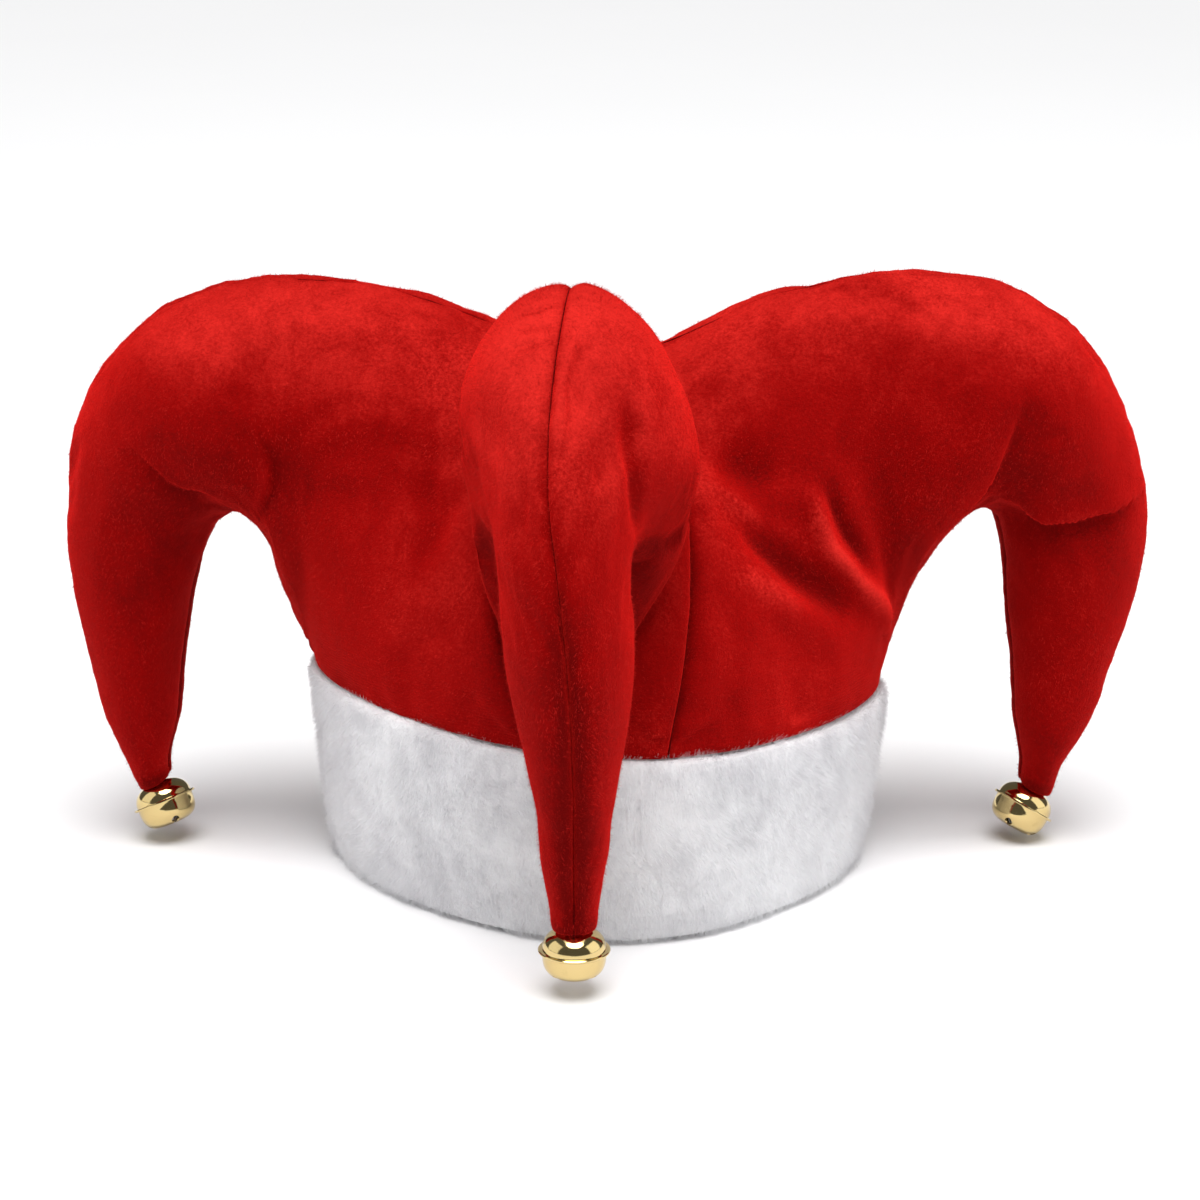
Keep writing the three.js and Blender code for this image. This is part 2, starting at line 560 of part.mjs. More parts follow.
function geometryOf(solid) {
  const mesh = solid.getMesh();
  const geometry = new THREE.BufferGeometry();
  geometry.setAttribute("position", new THREE.BufferAttribute(mesh.vertProperties, 3));
  geometry.setIndex(new THREE.BufferAttribute(mesh.triVerts, 1));
  return geometry;
}

// A lathe round Z from a profile of radius and height.
function turned(profile, steps) {
  const points = profile.map(([radius, height]) => new THREE.Vector2(radius, height));
  return new THREE.LatheGeometry(points, steps).rotateX(Math.PI / 2);
}

// Half of the bell's profile, from its pole (end 1 up, -1 down) to the flange.
function bellCurve(radius, height, steps) {
  const power = 2 / BELL.squareness;
  return Array.from({ length: steps + 1 }, (_, k) => {
    const angle = (Math.PI / 2) * (k / steps);
    return [radius * Math.sin(angle) ** power, height * Math.cos(angle) ** power];
  });
}

// A jingle bell about its flange, its loop up: two drawn halves joined at a flange, with
// crossed slots in the lower half that end in round holes.
function jingleBell() {
  const steps = BELL_RISE_STEPS;
  const half = BELL.flangeThickness / 2;
  const cup = bellCurve(BELL_RADIUS, BELL.cupHeight, steps).map(([r, h]) => [r, -h]);
  const cap = bellCurve(BELL_RADIUS, BELL.capHeight, steps).reverse();
  const flange = [
    [BELL.flangeRadius, -half],
    [BELL.flangeRadius, half],
  ];
  const rim = [[BELL_RADIUS, -half], ...flange, [BELL_RADIUS, half]];
  const skin = solidOf(turned([...cup.slice(0, -1), ...rim, ...cap.slice(1)], BELL_STEPS));
  const innerCup = bellCurve(BELL_RADIUS - BELL.wall, BELL.cupHeight - BELL.wall, steps);
  const innerCap = bellCurve(BELL_RADIUS - BELL.wall, BELL.capHeight - BELL.wall, steps);
  const inner = [...innerCup.map(([r, h]) => [r, -h]), ...innerCap.reverse().slice(1)];
  const hollow = solidOf(turned(inner, BELL_STEPS));
  let bell = skin.subtract(hollow);
  const { slotReach: reach, cupHeight: depth, holeRadius: radius } = BELL;
  const middle = -BELL.slotDrop - depth / 2;
  for (const quarter of [0, 1]) {
    const slot = new THREE.BoxGeometry(2 * reach, BELL.slotWidth, depth);
    slot.translate(0, 0, middle).rotateZ((quarter * Math.PI) / 2);
    bell = bell.subtract(solidOf(slot));
    for (const end of [-1, 1]) {
      const hole = new THREE.CylinderGeometry(radius, radius, depth, HOLE_STEPS);
      hole.rotateX(Math.PI / 2).translate(end * reach, 0, middle);
      hole.rotateZ((quarter * Math.PI) / 2);
      bell = bell.subtract(solidOf(hole));
    }
  }
  const loop = new THREE.TorusGeometry(BELL.loopRadius, BELL.loopWire, WIRE_STEPS, LOOP_STEPS);
  loop.rotateX(Math.PI / 2).translate(0, 0, BELL.capHeight + BELL.loopRadius - BELL.loopWire / 2);
  return geometryOf(bell.add(solidOf(loop)));
}

function named(name, geometry, material) {
  const mesh = new THREE.Mesh(geometry, material);
  mesh.name = name;
  return mesh;
}

// The points round the open end of a horn: its panels' last rows, on both faces of the cloth.
function tipPoints(hornName, rows) {
  const panels = PANELS.filter((panel) => panel.horn === hornName);
  return panels.flatMap((panel) => {
    const points = cloth.get(panel.name).attributes.position;
    const faceCount = points.count / 2;
    const count = rows * (ACROSS_STEPS + 1);
    return [faceCount, 2 * faceCount].flatMap((end) =>
      Array.from({ length: count }, (_, k) =>
        new THREE.Vector3().fromBufferAttribute(points, end - count + k),
      ),
    );
  });
}

// Height of the bell's cap above its flange at a distance from the axis.
const capHeightAt = (radius) =>
  BELL.capHeight * (1 - (radius / BELL_RADIUS) ** BELL.squareness) ** (1 / BELL.squareness);

// A bell sewn to the tip of a horn, seated on the edge of the cloth, with its pellet.
function hungBell(hornName, bellGeometry) {
  const edge = new THREE.Box3().setFromPoints(tipPoints(hornName, 1));
  const middle = edge.getCenter(new THREE.Vector3());
  const lean = BELL_LEANS[hornName];
  const along = outwards(HORNS[hornName].turn);
  const hang = UP.clone()
    .negate()
    .addScaledVector(along, -Math.tan(radians(lean.inward)))
    .addScaledVector(outwards(0), Math.tan(radians(lean.forward)))
    .normalize();
  const drops = tipPoints(hornName, STEPS_PER_ROW + 1).map((point) => {
    const from = point.clone().sub(middle);
    const ahead = from.dot(hang);
    const away = from.addScaledVector(hang, -ahead).length();
    return ahead + capHeightAt(Math.min(away, BELL_RADIUS));
  });
  const bell = new THREE.Group();
  bell.quaternion.setFromUnitVectors(UP, hang.clone().negate());
  bell.position.copy(middle).addScaledVector(hang, Math.max(...drops) + SEAT_GAP);
  bell.add(named(`bell_${hornName}`, bellGeometry, BRASS));
  const ball = new THREE.IcosahedronGeometry(BELL.pelletRadius, 1);
  const pellet = named(`pellet_${hornName}`, ball, STEEL);
  pellet.position.z = BELL.wall + BELL.pelletRadius + SEAT_GAP - BELL.cupHeight;
  bell.add(pellet);
  return bell;
}

const hat = new THREE.Group();
const cloth = new Map(PANELS.map((panel) => [panel.name, clothPanel(panel)]));
for (const [name, geometry] of cloth) hat.add(named(name, geometry, RED_VELOUR));
hat.add(named("cuff", plushCuff(), WHITE_PLUSH));
const bellGeometry = jingleBell();
for (const hornName of Object.keys(HORNS)) hat.add(hungBell(hornName, bellGeometry));

// The footprint's middle becomes the origin.
const footprint = new THREE.Box3().setFromObject(hat, true);
const centre = footprint.getCenter(new THREE.Vector3());
hat.position.set(-centre.x, -centre.y, -footprint.min.z);

export default hat;
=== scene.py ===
"""A soft three-horned jester hat in red velour, with a white plush cuff and jingle bells.

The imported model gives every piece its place. Each panel of cloth, the cuff and each bell is
modelled again in finer detail over its own solid, and the pile, the seams and the finishes are
added. Lengths in the tables are millimetres in the hat's own frame, meshes are in metres.
"""

import logging
import math
from dataclasses import dataclass, field
from enum import Enum

import bmesh
import bpy
import numpy as np
from mathutils import Matrix, Vector
from mathutils.kdtree import KDTree


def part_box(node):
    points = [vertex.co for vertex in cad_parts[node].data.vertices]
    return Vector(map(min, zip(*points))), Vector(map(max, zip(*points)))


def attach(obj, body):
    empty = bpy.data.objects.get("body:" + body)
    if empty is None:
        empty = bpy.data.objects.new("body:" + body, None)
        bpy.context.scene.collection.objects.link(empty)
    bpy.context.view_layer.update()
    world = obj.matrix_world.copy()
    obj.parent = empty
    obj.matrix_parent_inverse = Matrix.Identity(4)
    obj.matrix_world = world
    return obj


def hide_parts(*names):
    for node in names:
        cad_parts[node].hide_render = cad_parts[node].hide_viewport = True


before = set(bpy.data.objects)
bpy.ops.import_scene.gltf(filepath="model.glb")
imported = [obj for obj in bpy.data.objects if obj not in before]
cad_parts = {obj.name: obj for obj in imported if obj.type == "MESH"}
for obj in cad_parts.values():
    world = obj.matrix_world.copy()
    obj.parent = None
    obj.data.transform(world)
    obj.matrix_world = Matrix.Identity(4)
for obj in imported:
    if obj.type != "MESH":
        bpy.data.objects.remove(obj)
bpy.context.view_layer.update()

LOG = logging.getLogger("jester_hat")
MM = 0.001
Colour = tuple[float, float, float]
Array = np.ndarray


# Shader maths


class Value:
    """An output socket whose arithmetic adds Math nodes to its material."""

    def __init__(self, graph: "Graph", socket: bpy.types.NodeSocket) -> None:
        """Wraps one socket of a graph."""
        self.graph = graph
        self.socket = socket

    def _math(self, operation: str, first: "Value | float", second: "Value | float") -> "Value":
        """Adds one Math node.

        Args:
            operation: the node's operation.
            first: its first value or link.
            second: its second value or link.

        Returns:
            The node's result.
        """
        node = self.graph.node("ShaderNodeMath", {"operation": operation}, {0: first, 1: second})
        return Value(self.graph, node.outputs[0])

    def __add__(self, other: "Value | float") -> "Value":
        """The sum."""
        return self._math("ADD", self, other)

    def __sub__(self, other: "Value | float") -> "Value":
        """The difference."""
        return self._math("SUBTRACT", self, other)

    def __rsub__(self, other: "Value | float") -> "Value":
        """The difference, taken from a number."""
        return self._math("SUBTRACT", other, self)

    def __mul__(self, other: "Value | float") -> "Value":
        """The product."""
        return self._math("MULTIPLY", self, other)

    __radd__ = __add__
    __rmul__ = __mul__

    def between(self, low: float, high: float) -> "Value":
        """Rises smoothly from 0 at low to 1 at high."""
        settings = {"interpolation_type": "SMOOTHSTEP", "clamp": True}
        node = self.graph.node(
            "ShaderNodeMapRange", settings, {"Value": self, "From Min": low, "From Max": high}
        )
        return Value(self.graph, node.outputs["Result"])


class Graph:
    """The nodes of one material."""

    def __init__(self, name: str) -> None:
        """Starts a material with a Principled shader and object coordinates."""
        self.material = bpy.data.materials.new(name)
        self.material.use_nodes = True
        self.tree = self.material.node_tree
        self.shader = self.tree.nodes["Principled BSDF"]
        self.place = self.node("ShaderNodeTexCoord", {}, {}).outputs["Object"]

    def node(self, kind: str, settings: dict, inputs: dict) -> bpy.types.Node:
        """Adds a node.

        Args:
            kind: the node's type.
            settings: its properties.
            inputs: the values or links of its sockets, by name or number.

        Returns:
            The node.
        """
        node = self.tree.nodes.new(kind)
        for key, value in settings.items():
            setattr(node, key, value)
        for key, value in inputs.items():
            self.feed(node.inputs[key], value)
        return node

    def feed(self, socket: bpy.types.NodeSocket, value: "Feed") -> None:
        """Sets a socket to a value, or links it."""
        if isinstance(value, Value):
            self.tree.links.new(value.socket, socket)
        elif isinstance(value, bpy.types.NodeSocket):
            self.tree.links.new(value, socket)
        elif isinstance(value, tuple) and len(value) == 3 and socket.type == "RGBA":
            socket.default_value = (*value, 1.0)
        else:
            socket.default_value = value

    def noise(
        self,
        size: float,
        detail: float = 3.0,
        rough: float = 0.55,
        stretch: Colour = (1, 1, 1),
        distortion: float = 0.0,
    ) -> Value:
        """Noise over the object.

        Args:
            size: the size of its patches in metres.
            detail: how many finer layers it has.
            rough: how strong those are.
            stretch: how many times finer it is along each axis.
            distortion: how far its patches are swirled.

        Returns:
            The noise, about 0.5.
        """
        mapping = self.node("ShaderNodeMapping", {}, {"Vector": self.place, "Scale": stretch})
        node = self.node(
            "ShaderNodeTexNoise",
            {},
            {
                "Vector": mapping.outputs[0],
                "Scale": 1 / size,
                "Detail": detail,
                "Roughness": rough,
                "Distortion": distortion,
            },
        )
        return Value(self, node.outputs["Fac"])

    def ribs(self, pitch: float, axis: str, distortion: float = 0.0) -> Value:
        """Parallel ribs of a given pitch in metres across an axis."""
        settings = {"wave_type": "BANDS", "bands_direction": axis}
        inputs = {"Vector": self.place, "Scale": math.pi / (10 * pitch), "Distortion": distortion}
        return Value(self, self.node("ShaderNodeTexWave", settings, inputs).outputs["Fac"])

    def attribute(self, name: str) -> Value:
        """A number kept on the mesh."""
        node = self.node("ShaderNodeAttribute", {"attribute_name": name}, {})
        return Value(self, node.outputs["Fac"])

    def mix(self, share: "Value | float", first: "Colour | bpy.types.NodeSocket",
            second: "Colour | bpy.types.NodeSocket") -> bpy.types.NodeSocket:
        """Mixes two colours.

        Args:
            share: how much of the second shows.
            first: a colour or link.
            second: a colour or link.

        Returns:
            The mixed colour.
        """
        node = self.node("ShaderNodeMix", {"data_type": "RGBA"}, {0: share, 6: first, 7: second})
        return node.outputs[2]

    def bump(self, height: Value, distance: float, strength: float = 1.0) -> bpy.types.NodeSocket:
        """A normal from a height, whose full range is a distance in metres."""
        node = self.node(
            "ShaderNodeBump", {}, {"Strength": strength, "Distance": distance, "Height": height}
        )
        return node.outputs["Normal"]

    def let_through(self, share: float, colour: Colour) -> None:
        """Lets a share of the light through the surface, in a colour."""
        thin = self.node("ShaderNodeBsdfTranslucent", {}, {"Color": colour})
        inputs = {0: share, 1: self.shader.outputs[0], 2: thin.outputs[0]}
        both = self.node("ShaderNodeMixShader", {}, inputs)
        self.feed(self.tree.nodes["Material Output"].inputs["Surface"], both.outputs[0])

    def dress(self, **inputs: "Feed") -> bpy.types.Material:
        """Sets the shader's sockets, named with underscores.

        Returns:
            The material.
        """
        for key, value in inputs.items():
            self.feed(self.shader.inputs[key.replace("_", " ")], value)
        return self.material


Feed = Value | bpy.types.NodeSocket | float | tuple


# Finishes


@dataclass(frozen=True)
class VelourFinish:
    """Short-pile velour whose nap is brushed in patches, with painted shade in its seams and folds
    and painted light on its upward faces.
    """

    # mid is the velour's red; deep and lit are its shaded and lit copies, so the ramp between them
    # paints shade and light.
    deep: Colour = (0.10, 0.0002, 0.0002)
    mid: Colour = (0.245, 0.0006, 0.0005)
    lit: Colour = (0.67, 0.023, 0.017)
    sheen_tint: Colour = (1.0, 0.016, 0.012)

    def material(self) -> bpy.types.Material:
        """The velour seen from its pile side."""
        g = Graph("velour")
        patches = g.noise(0.034, 3.0, 0.6, (1, 1, 0.8), 0.6)
        streaks = g.noise(0.008, 4.0, 0.55, (1, 1, 0.45), 0.9)
        grain = g.noise(0.0011, 4.0, 0.65)
        pile = g.noise(0.0005, 3.0, 0.65)
        ruffled = g.noise(0.055, 2.0, 0.5).between(0.44, 0.66) * 0.34 + 0.1
        nap = 0.4 * patches + 0.25 * streaks + 0.35 * grain
        # The mesh's nap number adds painted light on upward faces and painted shade in folds and
        # seams to the random nap patches.
        shade = (nap - 0.5) * 1.2 + (grain - 0.5) * ruffled + g.attribute("nap")
        body = g.mix(shade.between(-0.55, 0.05), self.deep, self.mid)
        colour = g.mix(shade.between(-0.05, 0.62), body, self.lit)
        flecks = pile.between(0.58, 0.8) * (ruffled + 0.25) * 0.5
        colour = g.mix(flecks, colour, self.lit)
        pits = (1 - pile.between(0.26, 0.46)) * 0.3
        colour = g.mix(pits, colour, self.deep)
        worn = g.attribute("worn")
        ribs = g.ribs(0.0011, "Z", 1.2) * worn
        height = pile * 0.5 + grain * 0.35 + streaks * 0.3 + ribs * 0.16
        return g.dress(
            Base_Color=colour,
            Roughness=0.78 + (nap - 0.5) * 0.3,
            Specular_IOR_Level=0.03,
            Sheen_Weight=1.0,
            Sheen_Roughness=0.45,
            Sheen_Tint=self.sheen_tint,
            Normal=g.bump(height, 0.0009, 0.75),
        )

    def nap(self) -> bpy.types.Material:
        """The single hairs of the nap."""
        g = Graph("velour_nap")
        patches = g.noise(0.034, 3.0, 0.6, (1, 1, 0.8), 0.6)
        lint = g.noise(0.0012, 3.0, 0.7)
        shade = patches * 0.5 + lint * 0.5
        return g.dress(
            Base_Color=g.mix(shade.between(0.3, 0.7), self.mid, self.lit),
            Roughness=0.7 + (lint - 0.5) * 0.2,
            Specular_IOR_Level=0.05,
            Sheen_Weight=0.5,
            Sheen_Tint=self.sheen_tint,
        )


@dataclass(frozen=True)
class KnitFinish:
    """The flat knitted back of the velour, seen inside the hat."""

    yarn: Colour = (0.42, 0.012, 0.014)
    gap: Colour = (0.17, 0.003, 0.004)

    def material(self) -> bpy.types.Material:
        """The cloth seen from its back."""
        g = Graph("velour_back")
        courses = g.ribs(0.0012, "Z", 0.8)
        wales = g.ribs(0.0015, "X", 0.8)
        lint = g.noise(0.004, 4.0, 0.65)
        knit = courses * 0.5 + wales * 0.3 + lint * 0.3
        return g.dress(
            Base_Color=g.mix(knit.between(0.25, 0.85), self.gap, self.yarn),
            Roughness=0.82 + (lint - 0.5) * 0.2,
            Specular_IOR_Level=0.2,
            Sheen_Weight=0.15,
            Sheen_Roughness=0.5,
            Normal=g.bump(knit, 0.0006, 0.7),
        )


@dataclass(frozen=True)
class PlushFinish:
    """White short-hair plush: the ground cloth, or the hairs on it."""

    name: str
    white: Colour = (0.88, 0.88, 0.89)
    shade: Colour = (0.71, 0.705, 0.725)
    hairs: bool = False
    shine: float = 0.5

    def material(self) -> bpy.types.Material:
        """The plush."""
        g = Graph(self.name)
        tufts = g.noise(0.006, 4.0, 0.65, (1, 1, 0.6), 0.8)
        lint = g.noise(0.0009, 3.0, 0.7)
        worn = g.noise(0.045, 2.0, 0.5)
        # Painted shade: random patches take the grey shade colour, and worn here only names the
        # largest of them.
        unshaded = (worn * 0.4 + tufts * 0.35 + lint * 0.25).between(0.38, 0.6)
        colour = g.mix(unshaded, self.shade, self.white)
        looks = {
            "Base_Color": colour,
            "Roughness": 0.72 + (lint - 0.5) * 0.2,
            "Specular_IOR_Level": 0.2,
            "Sheen_Weight": 0.35,
            "Sheen_Roughness": 0.45,
        }
        if self.hairs:
            g.let_through(self.shine, self.white)
        else:
            looks["Normal"] = g.bump(tufts * 0.7 + lint * 0.3, 0.0012, 0.8)
        return g.dress(**looks)


@dataclass(frozen=True)
class BrassFinish:
    """Polished pale brass plating, faintly marked by handling."""

    bright: Colour = (0.65, 0.50, 0.225)
    dull: Colour = (0.38, 0.27, 0.10)

    def material(self) -> bpy.types.Material:
        """The plating."""
        g = Graph("bell_brass")
        smears = g.noise(0.005, 4.0, 0.6, (1, 1, 1.6), 0.5)
        scuffs = g.noise(0.0007, 3.0, 0.7, (4, 4, 0.6))
        worn = smears.between(0.52, 0.78)
        inside = g.attribute("inside")
        colour = g.mix(worn * 0.25 + inside * 0.6, self.bright, self.dull)
        return g.dress(
            Base_Color=colour,
            Metallic=1.0,
            Roughness=0.075 + worn * 0.07 + scuffs.between(0.55, 0.8) * 0.05 + inside * 0.3,
            Normal=g.bump(scuffs * 0.3 + smears, 0.00006, 0.4),
        )


@dataclass(frozen=True)
class SteelFinish:
    """Dull steel of the pellets, tumbled and spotted."""

    bare: Colour = (0.42, 0.41, 0.40)
    spot: Colour = (0.13, 0.10, 0.08)

    def material(self) -> bpy.types.Material:
        """The steel."""
        g = Graph("pellet_steel")
        spots = g.noise(0.0011, 4.0, 0.7).between(0.5, 0.7)
        scuffs = g.noise(0.0004, 3.0, 0.7)
        return g.dress(
            Base_Color=g.mix(spots, self.bare, self.spot),
            Metallic=1.0 - spots * 0.4,
            Roughness=0.34 + spots * 0.3 + (scuffs - 0.5) * 0.2,
            Normal=g.bump(scuffs, 0.00008, 0.5),
        )


@dataclass(frozen=True)
class ThreadFinish:
    """Twisted red sewing thread, darkened to paint the shade of the seam it lies in."""

    # yarn is the thread's red darkened far below the velour's, as painted shade of the seam; edge
    # is the darker twist.
    yarn: Colour = (0.085, 0.0003, 0.0003)
    edge: Colour = (0.045, 0.0002, 0.0002)

    def material(self) -> bpy.types.Material:
        """The thread."""
        g = Graph("seam_thread")
        twist = g.noise(0.0006, 2.0, 0.5, (1, 1, 2.5), 1.2)
        return g.dress(
            Base_Color=g.mix(twist.between(0.35, 0.65), self.edge, self.yarn),
            Roughness=0.7 + (twist - 0.5) * 0.3,
            Specular_IOR_Level=0.03,
            Normal=g.bump(twist, 0.0002, 0.7),
        )


@dataclass(frozen=True)
class FloorFinish:
    """A plain pale studio floor."""

    pale: Colour = (0.90, 0.90, 0.905)
    faint: Colour = (0.885, 0.885, 0.89)

    def material(self) -> bpy.types.Material:
        """The floor."""
        g = Graph("studio_floor")
        cloud = g.noise(0.4, 2.0, 0.5)
        return g.dress(
            Base_Color=g.mix(cloud, self.faint, self.pale), Roughness=0.7, Specular_IOR_Level=0.15
        )


# Shaping


class Lumps:
    """Smooth repeating noise in space, between -1 and 1."""

    SIDE = 32

    def __init__(self, seed: int) -> None:
        """Fills the lattice from a seed."""
        side = (self.SIDE,) * 3
        self.lattice = np.random.default_rng(seed).uniform(-1.0, 1.0, side)

    def at(self, points: Array, size: float) -> Array:
        """Reads the noise.

        Args:
            points: places, one in each row.
            size: the size of a lump, in the same unit.

        Returns:
            One number for each place.
        """
        place = points / size
        cell = np.floor(place).astype(int)
        share = place - cell
        share = share * share * (3 - 2 * share)
        total = np.zeros(len(points))
        for corner in np.ndindex(2, 2, 2):
            weight = np.ones(len(points))
            for axis in range(3):
                weight *= share[:, axis] if corner[axis] else 1 - share[:, axis]
            index = (cell + corner) % self.SIDE
            total += weight * self.lattice[index[:, 0], index[:, 1], index[:, 2]]
        return total


class FoldKind(Enum):
    """How a fold changes the cloth across its line."""

    VALLEY = "valley"
    RIDGE = "ridge"
    STEP = "step"


@dataclass(frozen=True)
class Fold:
    """A fold of one panel along a line of points, in millimetres."""

    node: str
    kind: FoldKind
    width: float
    depth: float
    line: tuple[tuple[float, float, float], ...]

    def shift(self, points: Array, normals: Array) -> Array:
        """How far the fold moves the cloth out.

        Args:
            points: places on the cloth, in millimetres.
            normals: the cloth's normals there.

        Returns:
            One distance in millimetres for each place, negative inwards.
        """
        corners = np.array(self.line)
        best = np.full(len(points), np.inf)
        along = np.zeros(len(points))
        side = np.zeros(len(points))
        count = len(corners) - 1
        for k in range(count):
            start, step = corners[k], corners[k + 1] - corners[k]
            share = np.clip((points - start) @ step / (step @ step), 0, 1)
            off = points - start - share[:, None] * step
            away = np.linalg.norm(off, axis=1)
            nearer = away < best
            best[nearer] = away[nearer]
            along[nearer] = (k + share[nearer]) / count
            across = np.cross(step, normals[nearer])
            side[nearer] = np.sign(np.einsum("ij,ij->i", across, off[nearer]))
        ends = np.sin(np.pi * np.clip(along, 0.02, 0.98)) ** 0.6
        if self.kind is FoldKind.STEP:
            signed = best * side
            lip = np.tanh(signed / (0.25 * self.width)) * np.exp(-best / self.width)
            return self.depth * ends * lip
        sign = 1 if self.kind is FoldKind.RIDGE else -1
        return sign * self.depth * ends * np.exp(-((best / self.width) ** 2))


VALLEY, RIDGE, STEP = FoldKind.VALLEY, FoldKind.RIDGE, FoldKind.STEP
FOLDS = (
    Fold("panel_right_front", VALLEY, 9.0, 4.5, ((36, 1, 155), (56, -2, 144))),
    Fold("panel_right_front", RIDGE, 4.2, 3.0, ((37, -8, 146), (52, -10, 133), (65, -6, 126))),
    Fold("panel_right_front", VALLEY, 7.0, 7.5, ((44, -13, 135), (64, -10, 118), (84, 0, 101))),
    Fold("panel_right_front", RIDGE, 4.4, 5.0,
         ((70, 0, 146), (72, -1, 136), (77, -1, 123), (85, 4, 110), (94, 13, 98), (97, 22, 88))),
    Fold("panel_right_front", RIDGE, 6.0, 2.0, ((42, -25, 122), (56, -20, 114), (70, -13, 104))),
    Fold("panel_right_front", VALLEY, 4.5, 4.5, ((72, 1, 148), (80, 1, 130), (90, 8, 113))),
    Fold("panel_right_front", STEP, 7.0, 2.6, ((139, 12, 168), (133, 13, 147), (128, 17, 130))),
    Fold("panel_right_front", STEP, 6.0, -3.4,
         ((131, 20, 126), (151, 27, 126), (168, 27, 128), (185, 38, 131))),
    Fold("panel_left_front", STEP, 6.0, -1.2,
         ((-163, 18, 156), (-148, 17, 140), (-131, 18, 131))),
    Fold("panel_left_front", VALLEY, 5.0, 1.2, ((-158, 16, 151), (-146, 17, 139), (-131, 18, 131))),
    Fold("panel_left_front", STEP, 5.5, 2.4,
         ((-117, 10, 158), (-114, 10, 149), (-115, 11, 140), (-120, 17, 130))),
    Fold("panel_left_front", VALLEY, 5.0, 2.4, ((-58, -4, 157), (-64, -11, 137))),
    Fold("panel_left_front", VALLEY, 6.0, 3.0, ((-52, -10, 146), (-64, -18, 120))),
    Fold("panel_front_left", VALLEY, 6.0, 3.0, ((-43, -66, 152), (-41, -62, 145), (-38, -60, 132))),
    Fold("panel_front_left", VALLEY, 2.2, 2.0, ((-29, -66, 214), (-14, -64, 219))),
    Fold("panel_front_left", VALLEY, 2.2, 1.9, ((-28, -73, 212), (-14, -76, 213))),
    Fold("panel_front_left", VALLEY, 2.4, 1.7, ((-30, -80, 207), (-14, -80, 210))),
    Fold("panel_front_right", VALLEY, 3.6, 3.0, ((4, -88, 194), (8, -94, 173), (10, -92, 152))),
    Fold("panel_front_right", VALLEY, 3.4, 2.6, ((9, -76, 146), (20, -66, 142), (30, -56, 146))),
    Fold("panel_right_back", VALLEY, 6.5, 5.0, ((52, 74, 150), (68, 78, 128), (84, 74, 106))),
    Fold("panel_right_back", RIDGE, 3.8, 3.6, ((62, 78, 152), (78, 80, 128), (92, 74, 104))),
    Fold("panel_right_back", STEP, 6.5, 2.8, ((134, 72, 128), (152, 80, 125), (170, 74, 130))),
    Fold("panel_left_back", VALLEY, 6.5, 4.4, ((-40, 66, 152), (-56, 74, 130), (-72, 72, 106))),
    Fold("panel_left_back", STEP, 6.0, 2.4, ((-160, 62, 150), (-146, 70, 138), (-130, 72, 128))),
)


def cloth_copy(node: str) -> bmesh.types.BMesh:
    """A CAD node's mesh with its doubles merged and its triangles joined to quads."""
    bm = bmesh.new()
    bm.from_mesh(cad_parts[node].data)
    bmesh.ops.remove_doubles(bm, verts=bm.verts, dist=1e-6)
    bmesh.ops.join_triangles(
        bm,
        faces=bm.faces,
        angle_face_threshold=math.pi,
        angle_shape_threshold=math.pi,
        topology_influence=1.0,
    )
    return bm


def finished(
    name: str, bm: bmesh.types.BMesh, materials: list[bpy.types.Material]
) -> bpy.types.Object:
    """Makes an object at the origin from a bmesh.

    Args:
        name: the piece's name.
        bm: its shape, which is freed.
        materials: its material slots.

    Returns:
        The object, smooth shaded.
    """
    mesh = bpy.data.meshes.new(name)
    bm.to_mesh(mesh)
    bm.free()
    for material in materials:
        mesh.materials.append(material)
    mesh.shade_smooth()
    return linked(name, mesh)


def linked(name: str, data: bpy.types.ID | None) -> bpy.types.Object:
    """Puts a new object with some data in the scene."""
    piece = bpy.data.objects.new(name, data)
    bpy.context.scene.collection.objects.link(piece)
    return piece


def refine(piece: bpy.types.Object, levels: int) -> None:
    """Subdivides a piece's mesh smoothly between its creases."""
    finer = piece.modifiers.new("finer", "SUBSURF")
    finer.levels = finer.render_levels = levels
    settle(piece)


def settle(piece: bpy.types.Object) -> None:
    """Applies a piece's modifiers to its mesh."""
    graph = bpy.context.evaluated_depsgraph_get()
    solid = bpy.data.meshes.new_from_object(piece.evaluated_get(graph))
    piece.modifiers.clear()
    piece.data = solid


def places(mesh: bpy.types.Mesh) -> Array:
    """A mesh's vertices in millimetres, one in each row."""
    flat = np.empty(len(mesh.vertices) * 3)
    mesh.vertices.foreach_get("co", flat)
    return flat.reshape(-1, 3) / MM


def facings(mesh: bpy.types.Mesh) -> Array:
    """A mesh's vertex normals, one in each row."""
    flat = np.empty(len(mesh.vertices) * 3, np.float32)
    mesh.vertex_normals.foreach_get("vector", flat)
    return flat.reshape(-1, 3).astype(float)


def place_all(mesh: bpy.types.Mesh, points: Array) -> None:
    """Moves a mesh's vertices to places in millimetres."""
    mesh.vertices.foreach_set("co", (points * MM).astype(np.float32).ravel())
    mesh.update()


def keep_number(mesh: bpy.types.Mesh, name: str, values: Array) -> None:
    """Keeps one number for each vertex on a mesh, for a material to read."""
    attribute = mesh.attributes.new(name, "FLOAT", "POINT")
    attribute.data.foreach_set("value", values.astype(np.float32))


def tree_of(targets: Array) -> KDTree:
    """A search tree of places."""
    tree = KDTree(len(targets))
    for k, target in enumerate(targets):
        tree.insert(target, k)
    tree.balance()
    return tree


def nearest(points: Array, targets: Array) -> tuple[Array, Array]:
    """Finds the nearest target of each point.

    Args:
        points: places, one in each row.
        targets: places to choose from.

    Returns:
        The number of the nearest target, and how far it is.
    """
    tree = tree_of(targets)
    found = [tree.find(point)[1:] for point in points]
    return np.array([k for k, _ in found]), np.array([away for _, away in found])


class Side(Enum):
    """The faces of a cloth wall, by the number of their material slot."""

    OUTER = 0
    INNER = 1
    EDGE = 2


